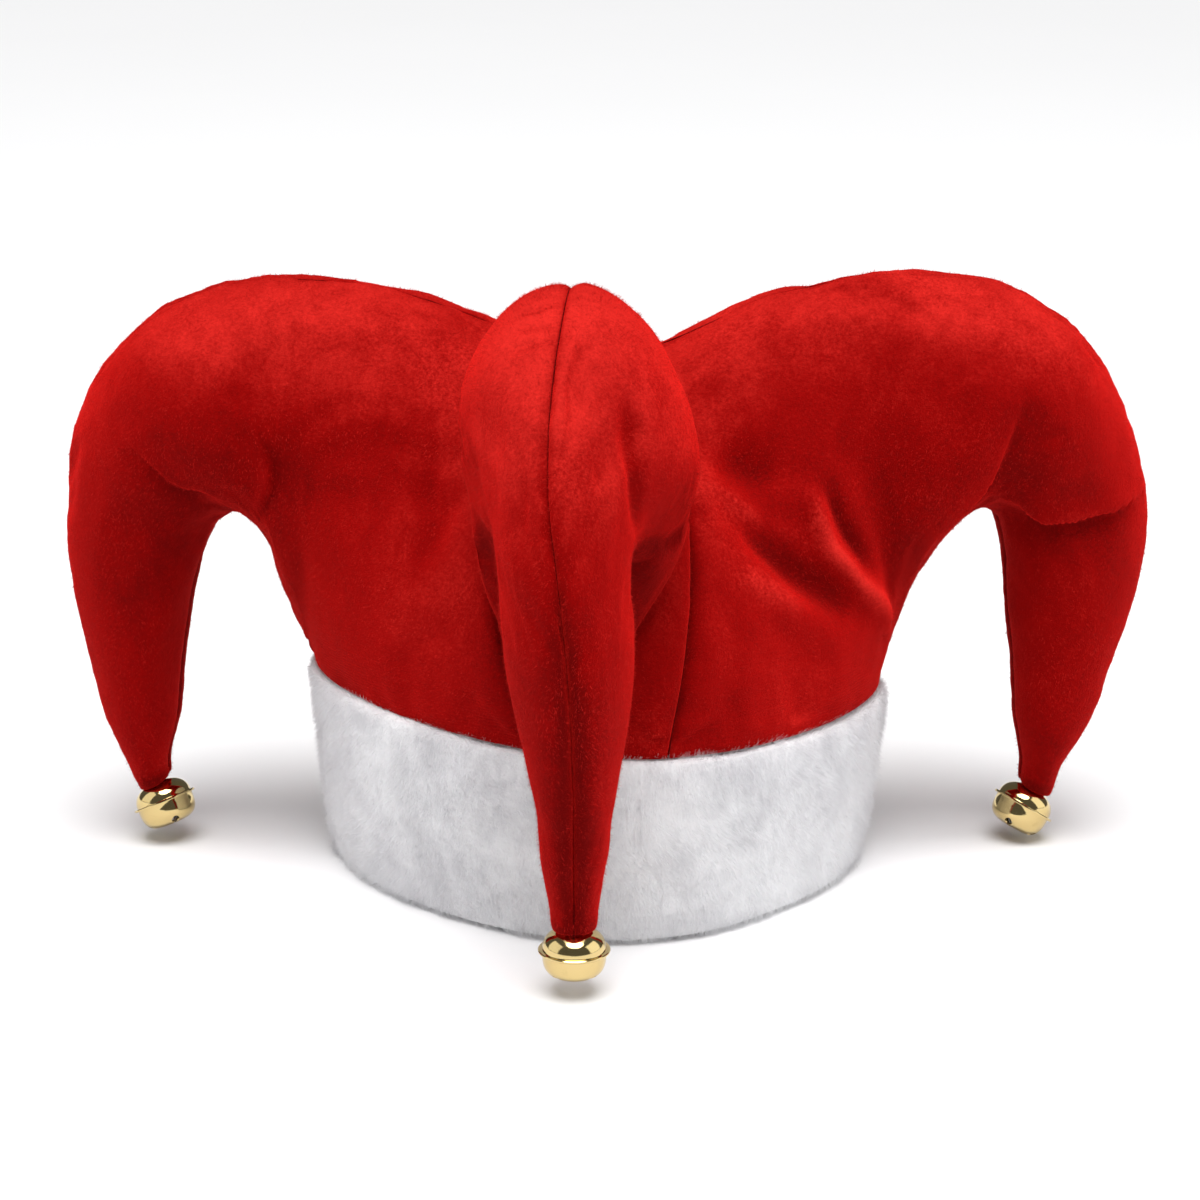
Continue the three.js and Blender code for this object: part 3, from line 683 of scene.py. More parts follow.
def vertices_of(mesh: bpy.types.Mesh, side: Side) -> Array:
    """Which vertices belong to faces of one side, as true or false."""
    slots = np.empty(len(mesh.polygons), int)
    mesh.polygons.foreach_get("material_index", slots)
    starts = np.empty(len(mesh.polygons), int)
    mesh.polygons.foreach_get("loop_start", starts)
    totals = np.empty(len(mesh.polygons), int)
    mesh.polygons.foreach_get("loop_total", totals)
    corners = np.empty(len(mesh.loops), int)
    mesh.loops.foreach_get("vertex_index", corners)
    of_loop = np.repeat(slots, totals)
    mask = np.zeros(len(mesh.vertices), bool)
    mask[corners[of_loop == side.value]] = True
    return mask


@dataclass(frozen=True)
class Roots:
    """Where hairs grow: places in millimetres, the normals, the comb and shares of length."""

    place: Array
    normal: Array
    comb: Array
    lie: Array
    size: Array

    def pick(self, chosen: Array) -> "Roots":
        """Some of the roots, by number or by true or false."""
        return Roots(*(getattr(self, name)[chosen] for name in Roots.__annotations__))


@dataclass(frozen=True)
class Pile:
    """The hairs of a pile fabric. Lengths are in millimetres."""

    length: float
    width: float
    segments: int
    clump: float
    scatter: float
    sunk: float
    stray: float
    floor_gap: float = 0.25

    def roots(self, mesh: bpy.types.Mesh, count: int, seed: int, swirl_size: float) -> Roots:
        """Scatters roots over the outer faces of a cloth, and combs them downwards.

        Args:
            mesh: the cloth, whose outer faces have the first material slot.
            count: how many roots.
            seed: chooses their places.
            swirl_size: the size of the swirls in the comb.

        Returns:
            The roots.
        """
        mesh.calc_loop_triangles()
        total = len(mesh.loop_triangles)
        corners, slots = np.empty(total * 3, int), np.empty(total, int)
        mesh.loop_triangles.foreach_get("vertices", corners)
        mesh.loop_triangles.foreach_get("material_index", slots)
        corners = corners.reshape(-1, 3)[slots == 0]
        points, normals = places(mesh), facings(mesh)
        a, b, c = (points[corners[:, k]] for k in range(3))
        areas = np.linalg.norm(np.cross(b - a, c - a), axis=1)
        rng = np.random.default_rng(seed)
        chosen = rng.choice(len(areas), count, p=areas / areas.sum())
        share = rng.dirichlet((1, 1, 1), count)[:, :, None]
        place = (points[corners[chosen]] * share).sum(axis=1)
        normal = (normals[corners[chosen]] * share).sum(axis=1)
        normal /= np.linalg.norm(normal, axis=1)[:, None]
        lay = Lumps(8)
        swirl = 1.1 * lay.at(place, swirl_size) + 0.6 * lay.at(place + 70, swirl_size / 3)
        around = np.cross(normal, (0.0, 0.0, 1.0))
        down = np.cross(around, normal) * -1
        comb = down * np.cos(swirl)[:, None] + around * np.sin(swirl)[:, None]
        lie = 1 + 0.4 * lay.at(place, self.clump) + rng.normal(0, 0.22, count)
        return Roots(place, normal, comb, lie, np.ones(count))

    def hair(self) -> tuple[Array, Array]:
        """One hair along X, as a narrow pointed ribbon.

        Returns:
            Its vertices in shares of its length and width, and its faces as triangles.
        """
        bm = bmesh.new()
        bmesh.ops.create_grid(bm, x_segments=self.segments, y_segments=1, size=0.5)
        for vertex in bm.verts:
            share = vertex.co.x + 0.5
            vertex.co = Vector((share, vertex.co.y * (1 - share) ** 0.5, 0))
        bmesh.ops.remove_doubles(bm, verts=bm.verts, dist=1e-5)
        bmesh.ops.triangulate(bm, faces=bm.faces)
        bm.verts.index_update()
        shape = np.array([vertex.co[:] for vertex in bm.verts])
        faces = np.array([[vertex.index for vertex in face.verts] for face in bm.faces])
        bm.free()
        return shape, faces

    def plant(self, name: str, roots: Roots, material: bpy.types.Material, slot: str,
              seed: int) -> bpy.types.Object:
        """Makes a piece of copies of a hair, each bent towards the comb.

        Args:
            name: the piece's name.
            roots: where the hairs grow.
            material: the hairs' finish.
            slot: not used.
            seed: chooses their lengths and turns.

        Returns:
            The piece.
        """
        shape, faces = self.hair()
        rng = np.random.default_rng(seed)
        count = len(roots.place)
        clump = Lumps(13)
        loose = rng.random(count) < self.stray
        lie = np.where(loose, rng.uniform(0, 0.5, count), roots.lie)[:, None]
        gather = [clump.at(roots.place + shift, self.clump) for shift in (0, 31, 62)]
        wander = rng.normal(0, self.scatter, (count, 3)) + 0.55 * np.stack(gather, axis=1)
        start = roots.normal + 0.45 * lie * roots.comb + 0.4 * wander
        end = 0.45 * roots.normal + 1.25 * lie * roots.comb + wander
        start /= np.linalg.norm(start, axis=1)[:, None]
        end /= np.linalg.norm(end, axis=1)[:, None]
        length = self.length * roots.size * rng.uniform(0.55, 1.0, count)
        length *= 1 + 0.25 * clump.at(roots.place, 2 * self.clump)
        width = self.width * rng.uniform(0.7, 1.3, count)
        flat = np.cross(start, roots.normal + rng.normal(0, 0.35, (count, 3)))
        flat /= np.linalg.norm(flat, axis=1)[:, None]
        share = shape[:, 0][None, :, None]
        bend = 0.5 * share * share
        along = start[:, None, :] * (share - bend) + end[:, None, :] * bend
        points = (
            (roots.place - self.sunk * roots.normal)[:, None, :]
            + along * length[:, None, None]
            + flat[:, None, :] * (shape[:, 1][None, :, None] * width[:, None, None])
        )
        points[:, :, 2] = np.maximum(points[:, :, 2], self.floor_gap)
        corners = (faces[None] + (np.arange(count) * len(shape))[:, None, None]).reshape(-1, 3)
        mesh = bpy.data.meshes.new(name)
        mesh.vertices.add(count * len(shape))
        mesh.loops.add(len(corners) * 3)
        mesh.polygons.add(len(corners))
        mesh.vertices.foreach_set("co", (points * MM).astype(np.float32).ravel())
        mesh.loops.foreach_set("vertex_index", corners.ravel())
        mesh.polygons.foreach_set("loop_start", np.arange(0, len(corners) * 3, 3))
        mesh.update(calc_edges=True)
        mesh.shade_smooth()
        mesh.materials.append(material)
        piece = linked(name, mesh)
        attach(piece, "root")
        LOG.info("%s: %d hairs, %d faces", name, count, len(corners))
        return piece


@dataclass
class VelourCap:
    """The six sewn panels of the cap and its horns."""

    fineness: int = 3
    sim_fineness: int = 2
    sim_frames: int = 16
    sim_quality: int = 5
    roominess: float = 0.016
    stuffing_pressure: float = 2.0
    wrinkle_limit: float = 1.6
    bulge_rounds: int = 40
    cloth: float = 2.0
    corner_angle: float = 50.0
    rim_height: float = 73.0
    crown_reach: float = 112.0
    seam_catch: float = 3.0
    seam_swell: float = 1.15
    seam_swell_reach: float = 5.0
    pucker: float = 0.65
    pucker_pitch: float = 4.4
    pucker_reach: float = 7.0
    slack: float = 0.55
    slack_size: float = 27.0
    stuffing: float = 0.28
    stuffing_size: float = 11.0
    thread_radius: float = 0.27
    stitch: float = 2.8
    naps: int = 56000
    pile: Pile = Pile(1.7, 0.12, 1, 3.0, 0.35, 0.15, 0.3)
    panels: dict[str, bpy.types.Object] = field(default_factory=dict)
    cut_areas: dict[str, float] = field(default_factory=dict)

    NAMES = (
        "panel_left_front",
        "panel_left_back",
        "panel_right_front",
        "panel_right_back",
        "panel_front_left",
        "panel_front_right",
    )
    CUTS = {"left": (0.17, 0.34), "right": (0.17, 0.36), "front": (0.17, 0.32)}

    def build(self) -> None:
        """Builds and dresses the panels, and joins their edges."""
        velour = VelourFinish().material()
        back = KnitFinish().material()
        for name in self.NAMES:
            piece = self.wall(name, [velour, back, velour])
            self.panels[name] = piece
        self.join_seams()
        self.drape()
        for piece in self.panels.values():
            refine(piece, self.fineness - self.sim_fineness)
        self.join_seams()
        for seed, (name, piece) in enumerate(self.panels.items()):
            self.shape(piece, name, seed)
            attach(piece, "root")
            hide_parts(name)
            LOG.info("%s: %d faces", piece.name, len(piece.data.polygons))
        thread = self.sew()
        naps = self.brush()

    def area(self, piece: bpy.types.Object) -> float:
        """The area of a panel's outer face in square metres."""
        return sum(face.area for face in piece.data.polygons if face.material_index == 0)

    def wall(self, name: str, materials: list[bpy.types.Material]) -> bpy.types.Object:
        """A finer copy of one panel's solid with its sides told apart.

        Args:
            name: the CAD node.
            materials: the slots of the outer face, the inner face and the edge.

        Returns:
            The piece, with its creased edges kept.
        """
        bm = cloth_copy(name)
        self.tell_sides(bm)
        outer = [face for face in bm.faces if face.material_index == Side.OUTER.value]
        self.cut_areas[name] = sum(face.calc_area() for face in outer)
        piece = finished(name.replace("panel", "velour"), bm, materials)
        refine(piece, self.sim_fineness)
        return piece

    def edge_strip(self, bm: bmesh.types.BMesh) -> list[bmesh.types.BMFace]:
        """The faces round a wall's edge: the longest walk that crosses the cloth's thickness."""
        longest: list[bmesh.types.BMFace] = []
        for edge in bm.edges:
            if abs(edge.calc_length() / MM - self.cloth) > 0.001:
                continue
            loop, strip = edge.link_loops[0], []
            while len(loop.face.verts) == 4 and loop.face not in strip:
                strip.append(loop.face)
                loop = loop.link_loop_next.link_loop_next.link_loop_radial_next
            longest = max(longest, strip, key=len)
        return longest

    def tell_sides(self, bm: bmesh.types.BMesh) -> None:
        """Creases the borders of a wall and gives its faces their sides, the outer the wider."""
        strip = set(self.edge_strip(bm))
        crease = bm.edges.layers.float.new("crease_edge")
        for edge in bm.edges:
            inside = sum(face in strip for face in edge.link_faces)
            corner = inside == 2 and edge.calc_face_angle() > math.radians(self.corner_angle)
            edge[crease] = 1.0 if inside == 1 or corner else 0.0
        left = set(bm.faces) - strip
        stretches = []
        while left:
            stretch, heap = [], [left.pop()]
            while heap:
                face = heap.pop()
                stretch.append(face)
                for edge in face.edges:
                    fresh = [other for other in edge.link_faces if other in left]
                    left.difference_update(fresh)
                    heap.extend(fresh)
            stretches.append(stretch)
        stretches.sort(key=lambda faces: -sum(face.calc_area() for face in faces))
        for side, stretch in zip(Side, [*stretches, strip]):
            for face in stretch:
                face.material_index = side.value

    def drape(self) -> None:
        """Settles the panels as roomy cloth held at the seams, and keeps the wrinkles."""
        skins = {name: self.skin(name, piece) for name, piece in self.panels.items()}
        for step in range(1, self.sim_frames + 1):
            bpy.context.scene.frame_set(step)
        graph = bpy.context.evaluated_depsgraph_get()
        for name, skin in skins.items():
            rest = places(skin.data)
            settled = bpy.data.meshes.new_from_object(skin.evaluated_get(graph))
            wrinkle = self.without_bulge(settled, places(settled) - rest)
            size = np.linalg.norm(wrinkle, axis=1)
            LOG.info("%s wrinkles: mean %.2f, most %.2f mm", name, size.mean(), size.max())
            wrinkle *= (self.wrinkle_limit / np.maximum(size, self.wrinkle_limit))[:, None]
            wrinkle *= (1 - 0.75 * self.hanging(rest))[:, None]
            mesh = self.panels[name].data
            points = places(mesh)
            outer = vertices_of(mesh, Side.OUTER)
            move = np.zeros_like(points)
            move[outer] = wrinkle
            behind = np.nonzero(vertices_of(mesh, Side.INNER) & ~outer)[0]
            beside, _ = nearest(points[behind], points[outer])
            move[behind] = wrinkle[beside]
            place_all(mesh, points + move)
            bpy.data.objects.remove(skin)
        bpy.context.scene.frame_set(1)

    def skin(self, name: str, piece: bpy.types.Object) -> bpy.types.Object:
        """A panel's outer face as cloth that is held along its border.

        Args:
            name: the CAD node.
            piece: the panel.

        Returns:
            The skin, with its cloth modifier.
        """
        bm = bmesh.new()
        bm.from_mesh(piece.data)
        other = [face for face in bm.faces if face.material_index != Side.OUTER.value]
        bmesh.ops.delete(bm, geom=other, context="FACES")
        bm.verts.index_update()
        border = [vertex.index for vertex in bm.verts if vertex.is_boundary]
        skin = finished(f"skin_{name}", bm, [])
        skin.vertex_groups.new(name="held").add(border, 1.0, "REPLACE")
        cloth = skin.modifiers.new("cloth", "CLOTH").settings
        cloth.quality = self.sim_quality
        cloth.effector_weights.gravity = 0
        cloth.mass = 0.15
        cloth.tension_stiffness = cloth.compression_stiffness = 20
        cloth.shear_stiffness = 8
        cloth.bending_stiffness = 0.15
        cloth.air_damping = 2
        cloth.shrink_min = -self.roominess
        cloth.use_pressure = True
        cloth.uniform_pressure_force = self.stuffing_pressure
        cloth.vertex_group_mass = "held"
        return skin

    def without_bulge(self, mesh: bpy.types.Mesh, move: Array) -> Array:
        """Takes the slow part out of a move, so that the panel keeps its outline.

        Args:
            mesh: the cloth.
            move: how far each vertex moved, in millimetres.

        Returns:
            The wrinkles in the move.
        """
        ends = np.empty(len(mesh.edges) * 2, int)
        mesh.edges.foreach_get("vertices", ends)
        a, b = ends.reshape(-1, 2).T
        count = np.bincount(a, minlength=len(move)) + np.bincount(b, minlength=len(move))
        held = np.linalg.norm(move, axis=1) < 1e-3
        slow = move.copy()
        for _ in range(self.bulge_rounds):
            sums = [
                np.bincount(a, slow[b, k], len(move)) + np.bincount(b, slow[a, k], len(move))
                for k in range(3)
            ]
            total = np.stack(sums, axis=1)
            slow = 0.3 * slow + 0.7 * total / count[:, None]
            slow[held] = 0
        return move - slow

    def reach(self, points: Array) -> Array:
        """How far each place is from the cuff's axis."""
        low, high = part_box("cuff")
        middle = (np.array(low) + np.array(high)) / 2 / MM
        return np.hypot(points[:, 0] - middle[0], points[:, 1] - middle[1])

    def on_rim(self, points: Array) -> Array:
        """Which places lie on the edge that meets the cuff."""
        return (points[:, 2] < self.rim_height) & (self.reach(points) < self.crown_reach)

    def hanging(self, points: Array) -> Array:
        """How far each place lies in a horn's hanging end, from 0 to 1."""
        low = np.clip((145 - points[:, 2]) / 40, 0, 1)
        return low * np.clip((self.reach(points) - self.crown_reach + 8) / 12, 0, 1)

    def join_seams(self) -> None:
        """Brings the edges of neighbouring panels together."""
        before = {name: places(piece.data) for name, piece in self.panels.items()}
        after = {name: points.copy() for name, points in before.items()}
        for side in (Side.OUTER, Side.INNER):
            rings = {name: self.ring(name, side) for name in self.panels}
            for name, own in rings.items():
                points = before[name]
                others = np.concatenate([before[o][k] for o, k in rings.items() if o != name])
                tree = tree_of(others)
                for k in own[~self.on_rim(points[own])]:
                    first, second = (np.array(found[0]) for found in tree.find_n(points[k], 2))
                    line = second - first
                    share = np.clip((points[k] - first) @ line / max(line @ line, 1e-9), 0, 1)
                    gap = first + share * line - points[k]
                    if np.linalg.norm(gap) < self.seam_catch:
                        after[name][k] += 0.5 * gap
        for name, points in after.items():
            place_all(self.panels[name].data, points)

    def ring(self, name: str, side: Side) -> Array:
        """The numbers of a panel's vertices between one of its faces and its edge."""
        mesh = self.panels[name].data
        return np.nonzero(vertices_of(mesh, Side.EDGE) & vertices_of(mesh, side))[0]

    def sew(self) -> bpy.types.Object:
        """Lays a lumpy thread in the bottom of every seam.

        Returns:
            The thread's piece.
        """
        curve = bpy.data.curves.new("thread", "CURVE")
        curve.dimensions = "3D"
        curve.bevel_depth = self.thread_radius * MM
        curve.bevel_resolution = 1
        curve.use_fill_caps = True
        sewn: list[Array] = []
        for name in self.panels:
            others = [
                places(piece.data)[self.ring(other, Side.OUTER)]
                for other, piece in self.panels.items()
                if other != name
            ]
            for chain in self.chains(name, np.concatenate(others)):
                if sewn:
                    _, away = nearest(chain, np.concatenate(sewn))
                    chain = chain[away > 1.2]
                if len(chain) < 8:
                    continue
                sewn.append(chain)
                jumps = np.linalg.norm(np.diff(chain, axis=0), axis=1)
                for part in np.split(chain, np.nonzero(jumps > 4)[0] + 1):
                    self.lay(curve, part)
        loose = linked("thread", curve)
        graph = bpy.context.evaluated_depsgraph_get()
        mesh = bpy.data.meshes.new_from_object(loose.evaluated_get(graph))
        bpy.data.objects.remove(loose)
        mesh.materials.clear()
        mesh.materials.append(ThreadFinish().material())
        mesh.shade_smooth()
        piece = linked("seam_thread", mesh)
        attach(piece, "root")
        LOG.info("seam_thread: %d faces", len(mesh.polygons))
        return piece

    def lay(self, curve: bpy.types.Curve, part: Array) -> None:
        """Adds one run of thread, thicker in the middle of each stitch."""
        if len(part) < 4:
            return
        run = np.concatenate([[0], np.cumsum(np.linalg.norm(np.diff(part, axis=0), axis=1))])
        spline = curve.splines.new("POLY")
        spline.points.add(len(part) - 1)
        flat = np.concatenate([part * MM, np.ones((len(part), 1))], axis=1)
        spline.points.foreach_set("co", flat.ravel())
        thick = 0.6 + 0.4 * abs(np.sin(np.pi * run / self.stitch))
        spline.points.foreach_set("radius", thick)

    def chains(self, name: str, others: Array) -> list[Array]:
        """The runs of a panel's outer border that lie on another panel's.

        Args:
            name: the panel.
            others: places on the other panels' borders.

        Returns:
            The runs, each as places in order.
        """
        mesh = self.panels[name].data
        points = places(mesh)
        own = set(self.ring(name, Side.OUTER).tolist())
        ways: dict[int, list[int]] = {k: [] for k in own}
        for edge in mesh.edges:
            a, b = edge.vertices
            if a in own and b in own:
                ways[a].append(b)
                ways[b].append(a)
        order, here = [], next(iter(own))
        while here is not None:
            order.append(here)
            own.discard(here)
            here = next((k for k in ways[here] if k in own), None)
        loop = points[order]
        _, away = nearest(loop, others)
        joined = away < 0.9
        if joined.all():
            return [loop]
        first = int(np.argmin(joined))
        loop, joined = np.roll(loop, -first, axis=0), np.roll(joined, -first)
        cuts = np.nonzero(np.diff(joined))[0] + 1
        return [part for part, ok in zip(np.split(loop, cuts), np.split(joined, cuts)) if ok[0]]

    def brush(self) -> list[bpy.types.Object]:
        """Plants the short nap on the panels.

        Returns:
            The nap's pieces.
        """
        velour = VelourFinish().nap()
        made = []
        for k, label in enumerate(("left", "right", "front")):
            meshes = [self.panels[name].data for name in self.NAMES if f"panel_{label}" in name]
            roots = [self.pile.roots(mesh, self.naps // 2, 31 + k, 30.0) for mesh in meshes]
            fields = ([getattr(r, name) for r in roots] for name in Roots.__annotations__)
            both = Roots(*map(np.concatenate, fields))
            made.append(self.pile.plant(f"nap_{label}", both, velour, "velour", 90 + k))
        return made

    def shape(self, piece: bpy.types.Object, name: str, seed: int) -> None:
        """Sculpts the swell and puckers of the seams, the folds and the stuffing, and keeps the nap
        number, which holds painted light and shade.

        Args:
            piece: the panel's piece.
            name: its CAD node.
            seed: chooses its own puckers.
        """
        mesh = piece.data
        points, normals = places(mesh), facings(mesh)
        outer = vertices_of(mesh, Side.OUTER)
        inner = vertices_of(mesh, Side.INNER)
        border = outer & vertices_of(mesh, Side.EDGE)
        own = np.nonzero(outer)[0]
        targets = points[border]
        index, away = nearest(points[own], targets)
        rim = self.on_rim(targets[index])
        seam = np.where(rim, 0.0, 1.0)
        lumps, puckers = Lumps(11), Lumps(40 + seed)
        hang = self.hanging(points[own])
        rise = away / self.seam_swell_reach * (1 - 0.08 * hang)
        high = np.clip((points[own][:, 2] - 130) / 50, 0, 1)
        out = self.seam_swell * (1 - 0.85 * high + 1.5 * hang) * seam * rise * np.exp(1 - rise)
        ripple = puckers.at(targets[index], self.pucker_pitch)
        ripple += 0.5 * puckers.at(targets[index] + 50, self.pucker_pitch * 0.45)
        fade = away / self.pucker_reach
        out += self.pucker * (1 - 0.5 * hang) * seam * ripple * fade * np.exp(1 - 2.2 * fade) * 1.6
        clear = 1 - np.exp(-((away / 4.0) ** 2))
        out += self.slack * (1 - 0.6 * hang) * clear * lumps.at(points[own], self.slack_size)
        out += self.stuffing * clear * lumps.at(points[own] + 90, self.stuffing_size)
        folds = np.zeros(len(own))
        for fold in FOLDS:
            if fold.node == name:
                folds += fold.shift(points[own], normals[own])
        out += folds * clear
        out *= np.clip((points[own][:, 2] - 26) / 22, 0.15, 1)
        move = np.zeros_like(points)
        move[own] = normals[own] * out[:, None]
        behind = np.nonzero(inner & ~outer)[0]
        beside, _ = nearest(points[behind], points[own])
        move[behind] = move[own][beside]
        place_all(mesh, points + move)
        nap = np.zeros(len(points))
        # The nap number: random patches of nap, plus painted light on upward-facing cloth and
        # painted shade on downward-facing cloth.
        nap[own] = 0.10 * lumps.at(points[own] + 30, 46.0) + 0.40 * (normals[own][:, 2] - 0.2)
        # Painted shade in fold valleys and painted highlight on fold ridges.
        nap[own] += 0.09 * np.clip(folds, -4.5, 0) + 0.115 * np.clip(folds, 0, 4)
        # Painted shade along the seams, weaker high up, and deeper along the seams of the hanging
        # ends.
        nap[own] -= seam * (0.28 - 0.16 * high) * np.exp(-((away / 2.6) ** 2))
        nap[own] -= seam * 0.45 * hang * np.exp(-((away / 3.8) ** 2))
        # Painted light on the front horn's head, and a little painted shade on its hanging end.
        if name.startswith("panel_front"):
            nap[own] += 0.11 * np.clip((points[own][:, 2] - 145) / 30, 0, 1) - 0.02 * hang
        keep_number(mesh, "nap", nap)
        worn = np.zeros(len(points))
        low = np.clip((112 - points[own][:, 2]) / 40, 0, 1) * np.clip(away / 4, 0, 1)
        worn[own] = low * np.clip((self.crown_reach - self.reach(points[own])) / 8, 0, 1)
        keep_number(mesh, "worn", worn)


@dataclass
class PlushCuff:
    """The white plush cuff and its pile."""

    fineness: int = 3
    lump: float = 0.9
    lump_size: float = 24.0
    tuft: float = 0.35
    tuft_size: float = 7.0
    edge_reach: float = 7.0
    hairs: int = 54000
    inner_hairs: int = 24000
    pile: Pile = Pile(5.6, 0.15, 2, 5.0, 0.3, 0.9, 0.04)

    SECTORS = ("front", "left", "right", "back")

    def build(self) -> None:
        """Builds and dresses the ground cloth, then plants the pile in sectors."""
        ground = self.ground()
        white = PlushFinish("plush_pile", hairs=True).material()
        roots = self.pile.roots(ground.data, 13 * self.hairs, 21, 38.0)
        roots = roots.pick(roots.normal[:, 2] > -0.75)
        top = roots.place[:, 2].max()
        edge = self.top_edge(roots.place, top)
        radial = (roots.place - roots.place.mean(axis=0)) * (1, 1, 0)
        outward = radial / np.linalg.norm(radial, axis=1)[:, None]
        rng = np.random.default_rng(22)
        order = np.argsort(rng.random(len(edge)) - 0.8 * edge)
        over = (edge * (roots.normal[:, 2] > 0.2) * rng.choice((0.6, -0.5), len(edge)))[:, None]
        comb = roots.comb * (1 - abs(over)) + outward * over
        lie, size = roots.lie * (1 - 0.4 * edge), 1 - 0.45 * edge
        roots = Roots(roots.place, roots.normal, comb, lie, size)
        roots, radial = roots.pick(order), radial[order]
        facing = (roots.normal * radial).sum(axis=1) / np.linalg.norm(radial, axis=1)
        inside = facing < -0.35
        angle = np.degrees(np.arctan2(radial[:, 0], -radial[:, 1]))
        sector = np.select([abs(angle) < 48, abs(angle) > 138, angle < 0], [0, 3, 1], 2)
        for k, name in enumerate(self.SECTORS):
            chosen = np.nonzero((sector == k) & ~inside)[0][: self.hairs]
            self.pile.plant(f"pile_{name}", roots.pick(chosen), white, "plush", 60 + k)
        chosen = np.nonzero(inside)[0][: self.inner_hairs]
        self.pile.plant("pile_inside", roots.pick(chosen), white, "plush", 70)

    def top_edge(self, points: Array, top: float) -> Array:
        """How near each place is to the cuff's top edge, from 0 to 1."""
        return np.clip((points[:, 2] - top + self.edge_reach) / self.edge_reach, 0, 1)

    def ground(self) -> bpy.types.Object:
        """The cuff's ground cloth, with its soft lumps."""
        bm = cloth_copy("cuff")
        piece = finished("cuff_cloth", bm, [PlushFinish("plush_ground").material()])
        refine(piece, self.fineness)
        mesh = piece.data
        points, normals = places(mesh), facings(mesh)
        lumps = Lumps(5)
        out = self.lump * lumps.at(points, self.lump_size)
        out += self.tuft * lumps.at(points, self.tuft_size)
        top = points[:, 2].max()
        out *= np.clip(points[:, 2] / top * 6, 0, 1)
        edge = self.top_edge(points, top)
        moved = points + normals * (out - 0.8 * (1 - edge))[:, None]
        moved[:, 2] = np.maximum(moved[:, 2], 0.05)
        place_all(mesh, moved)
        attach(piece, "root")
        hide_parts("cuff")
        LOG.info("%s: %d faces", piece.name, len(mesh.polygons))
        return piece


class Horn(Enum):
    """The three horns: the turn of each from the front, and how its bell tips in and forwards."""

    LEFT = ("left", -93.0, 23.0, 14.0, 20.0)
    RIGHT = ("right", 93.0, 31.0, 14.0, 65.0)
    FRONT = ("front", 0.0, 0.0, 0.0, 45.0)

    def __init__(
        self, label: str, turn: float, inward: float, forward: float, twist: float
    ) -> None:
        """Keeps the horn's name and its angles in degrees, the last the bell's about its loop."""
        self.label = label
        self.turn = math.radians(turn)
        self.inward = math.radians(inward)
        self.forward = math.radians(forward)
        self.twist = Matrix.Rotation(math.radians(twist), 4, "Z")

    def up(self) -> Vector:
        """The way from the horn's bell up into the horn."""
        along = Vector((math.sin(self.turn), -math.cos(self.turn), 0))
        hang = Vector((0, -math.tan(self.forward), -1)) - along * math.tan(self.inward)
        return -hang.normalized()


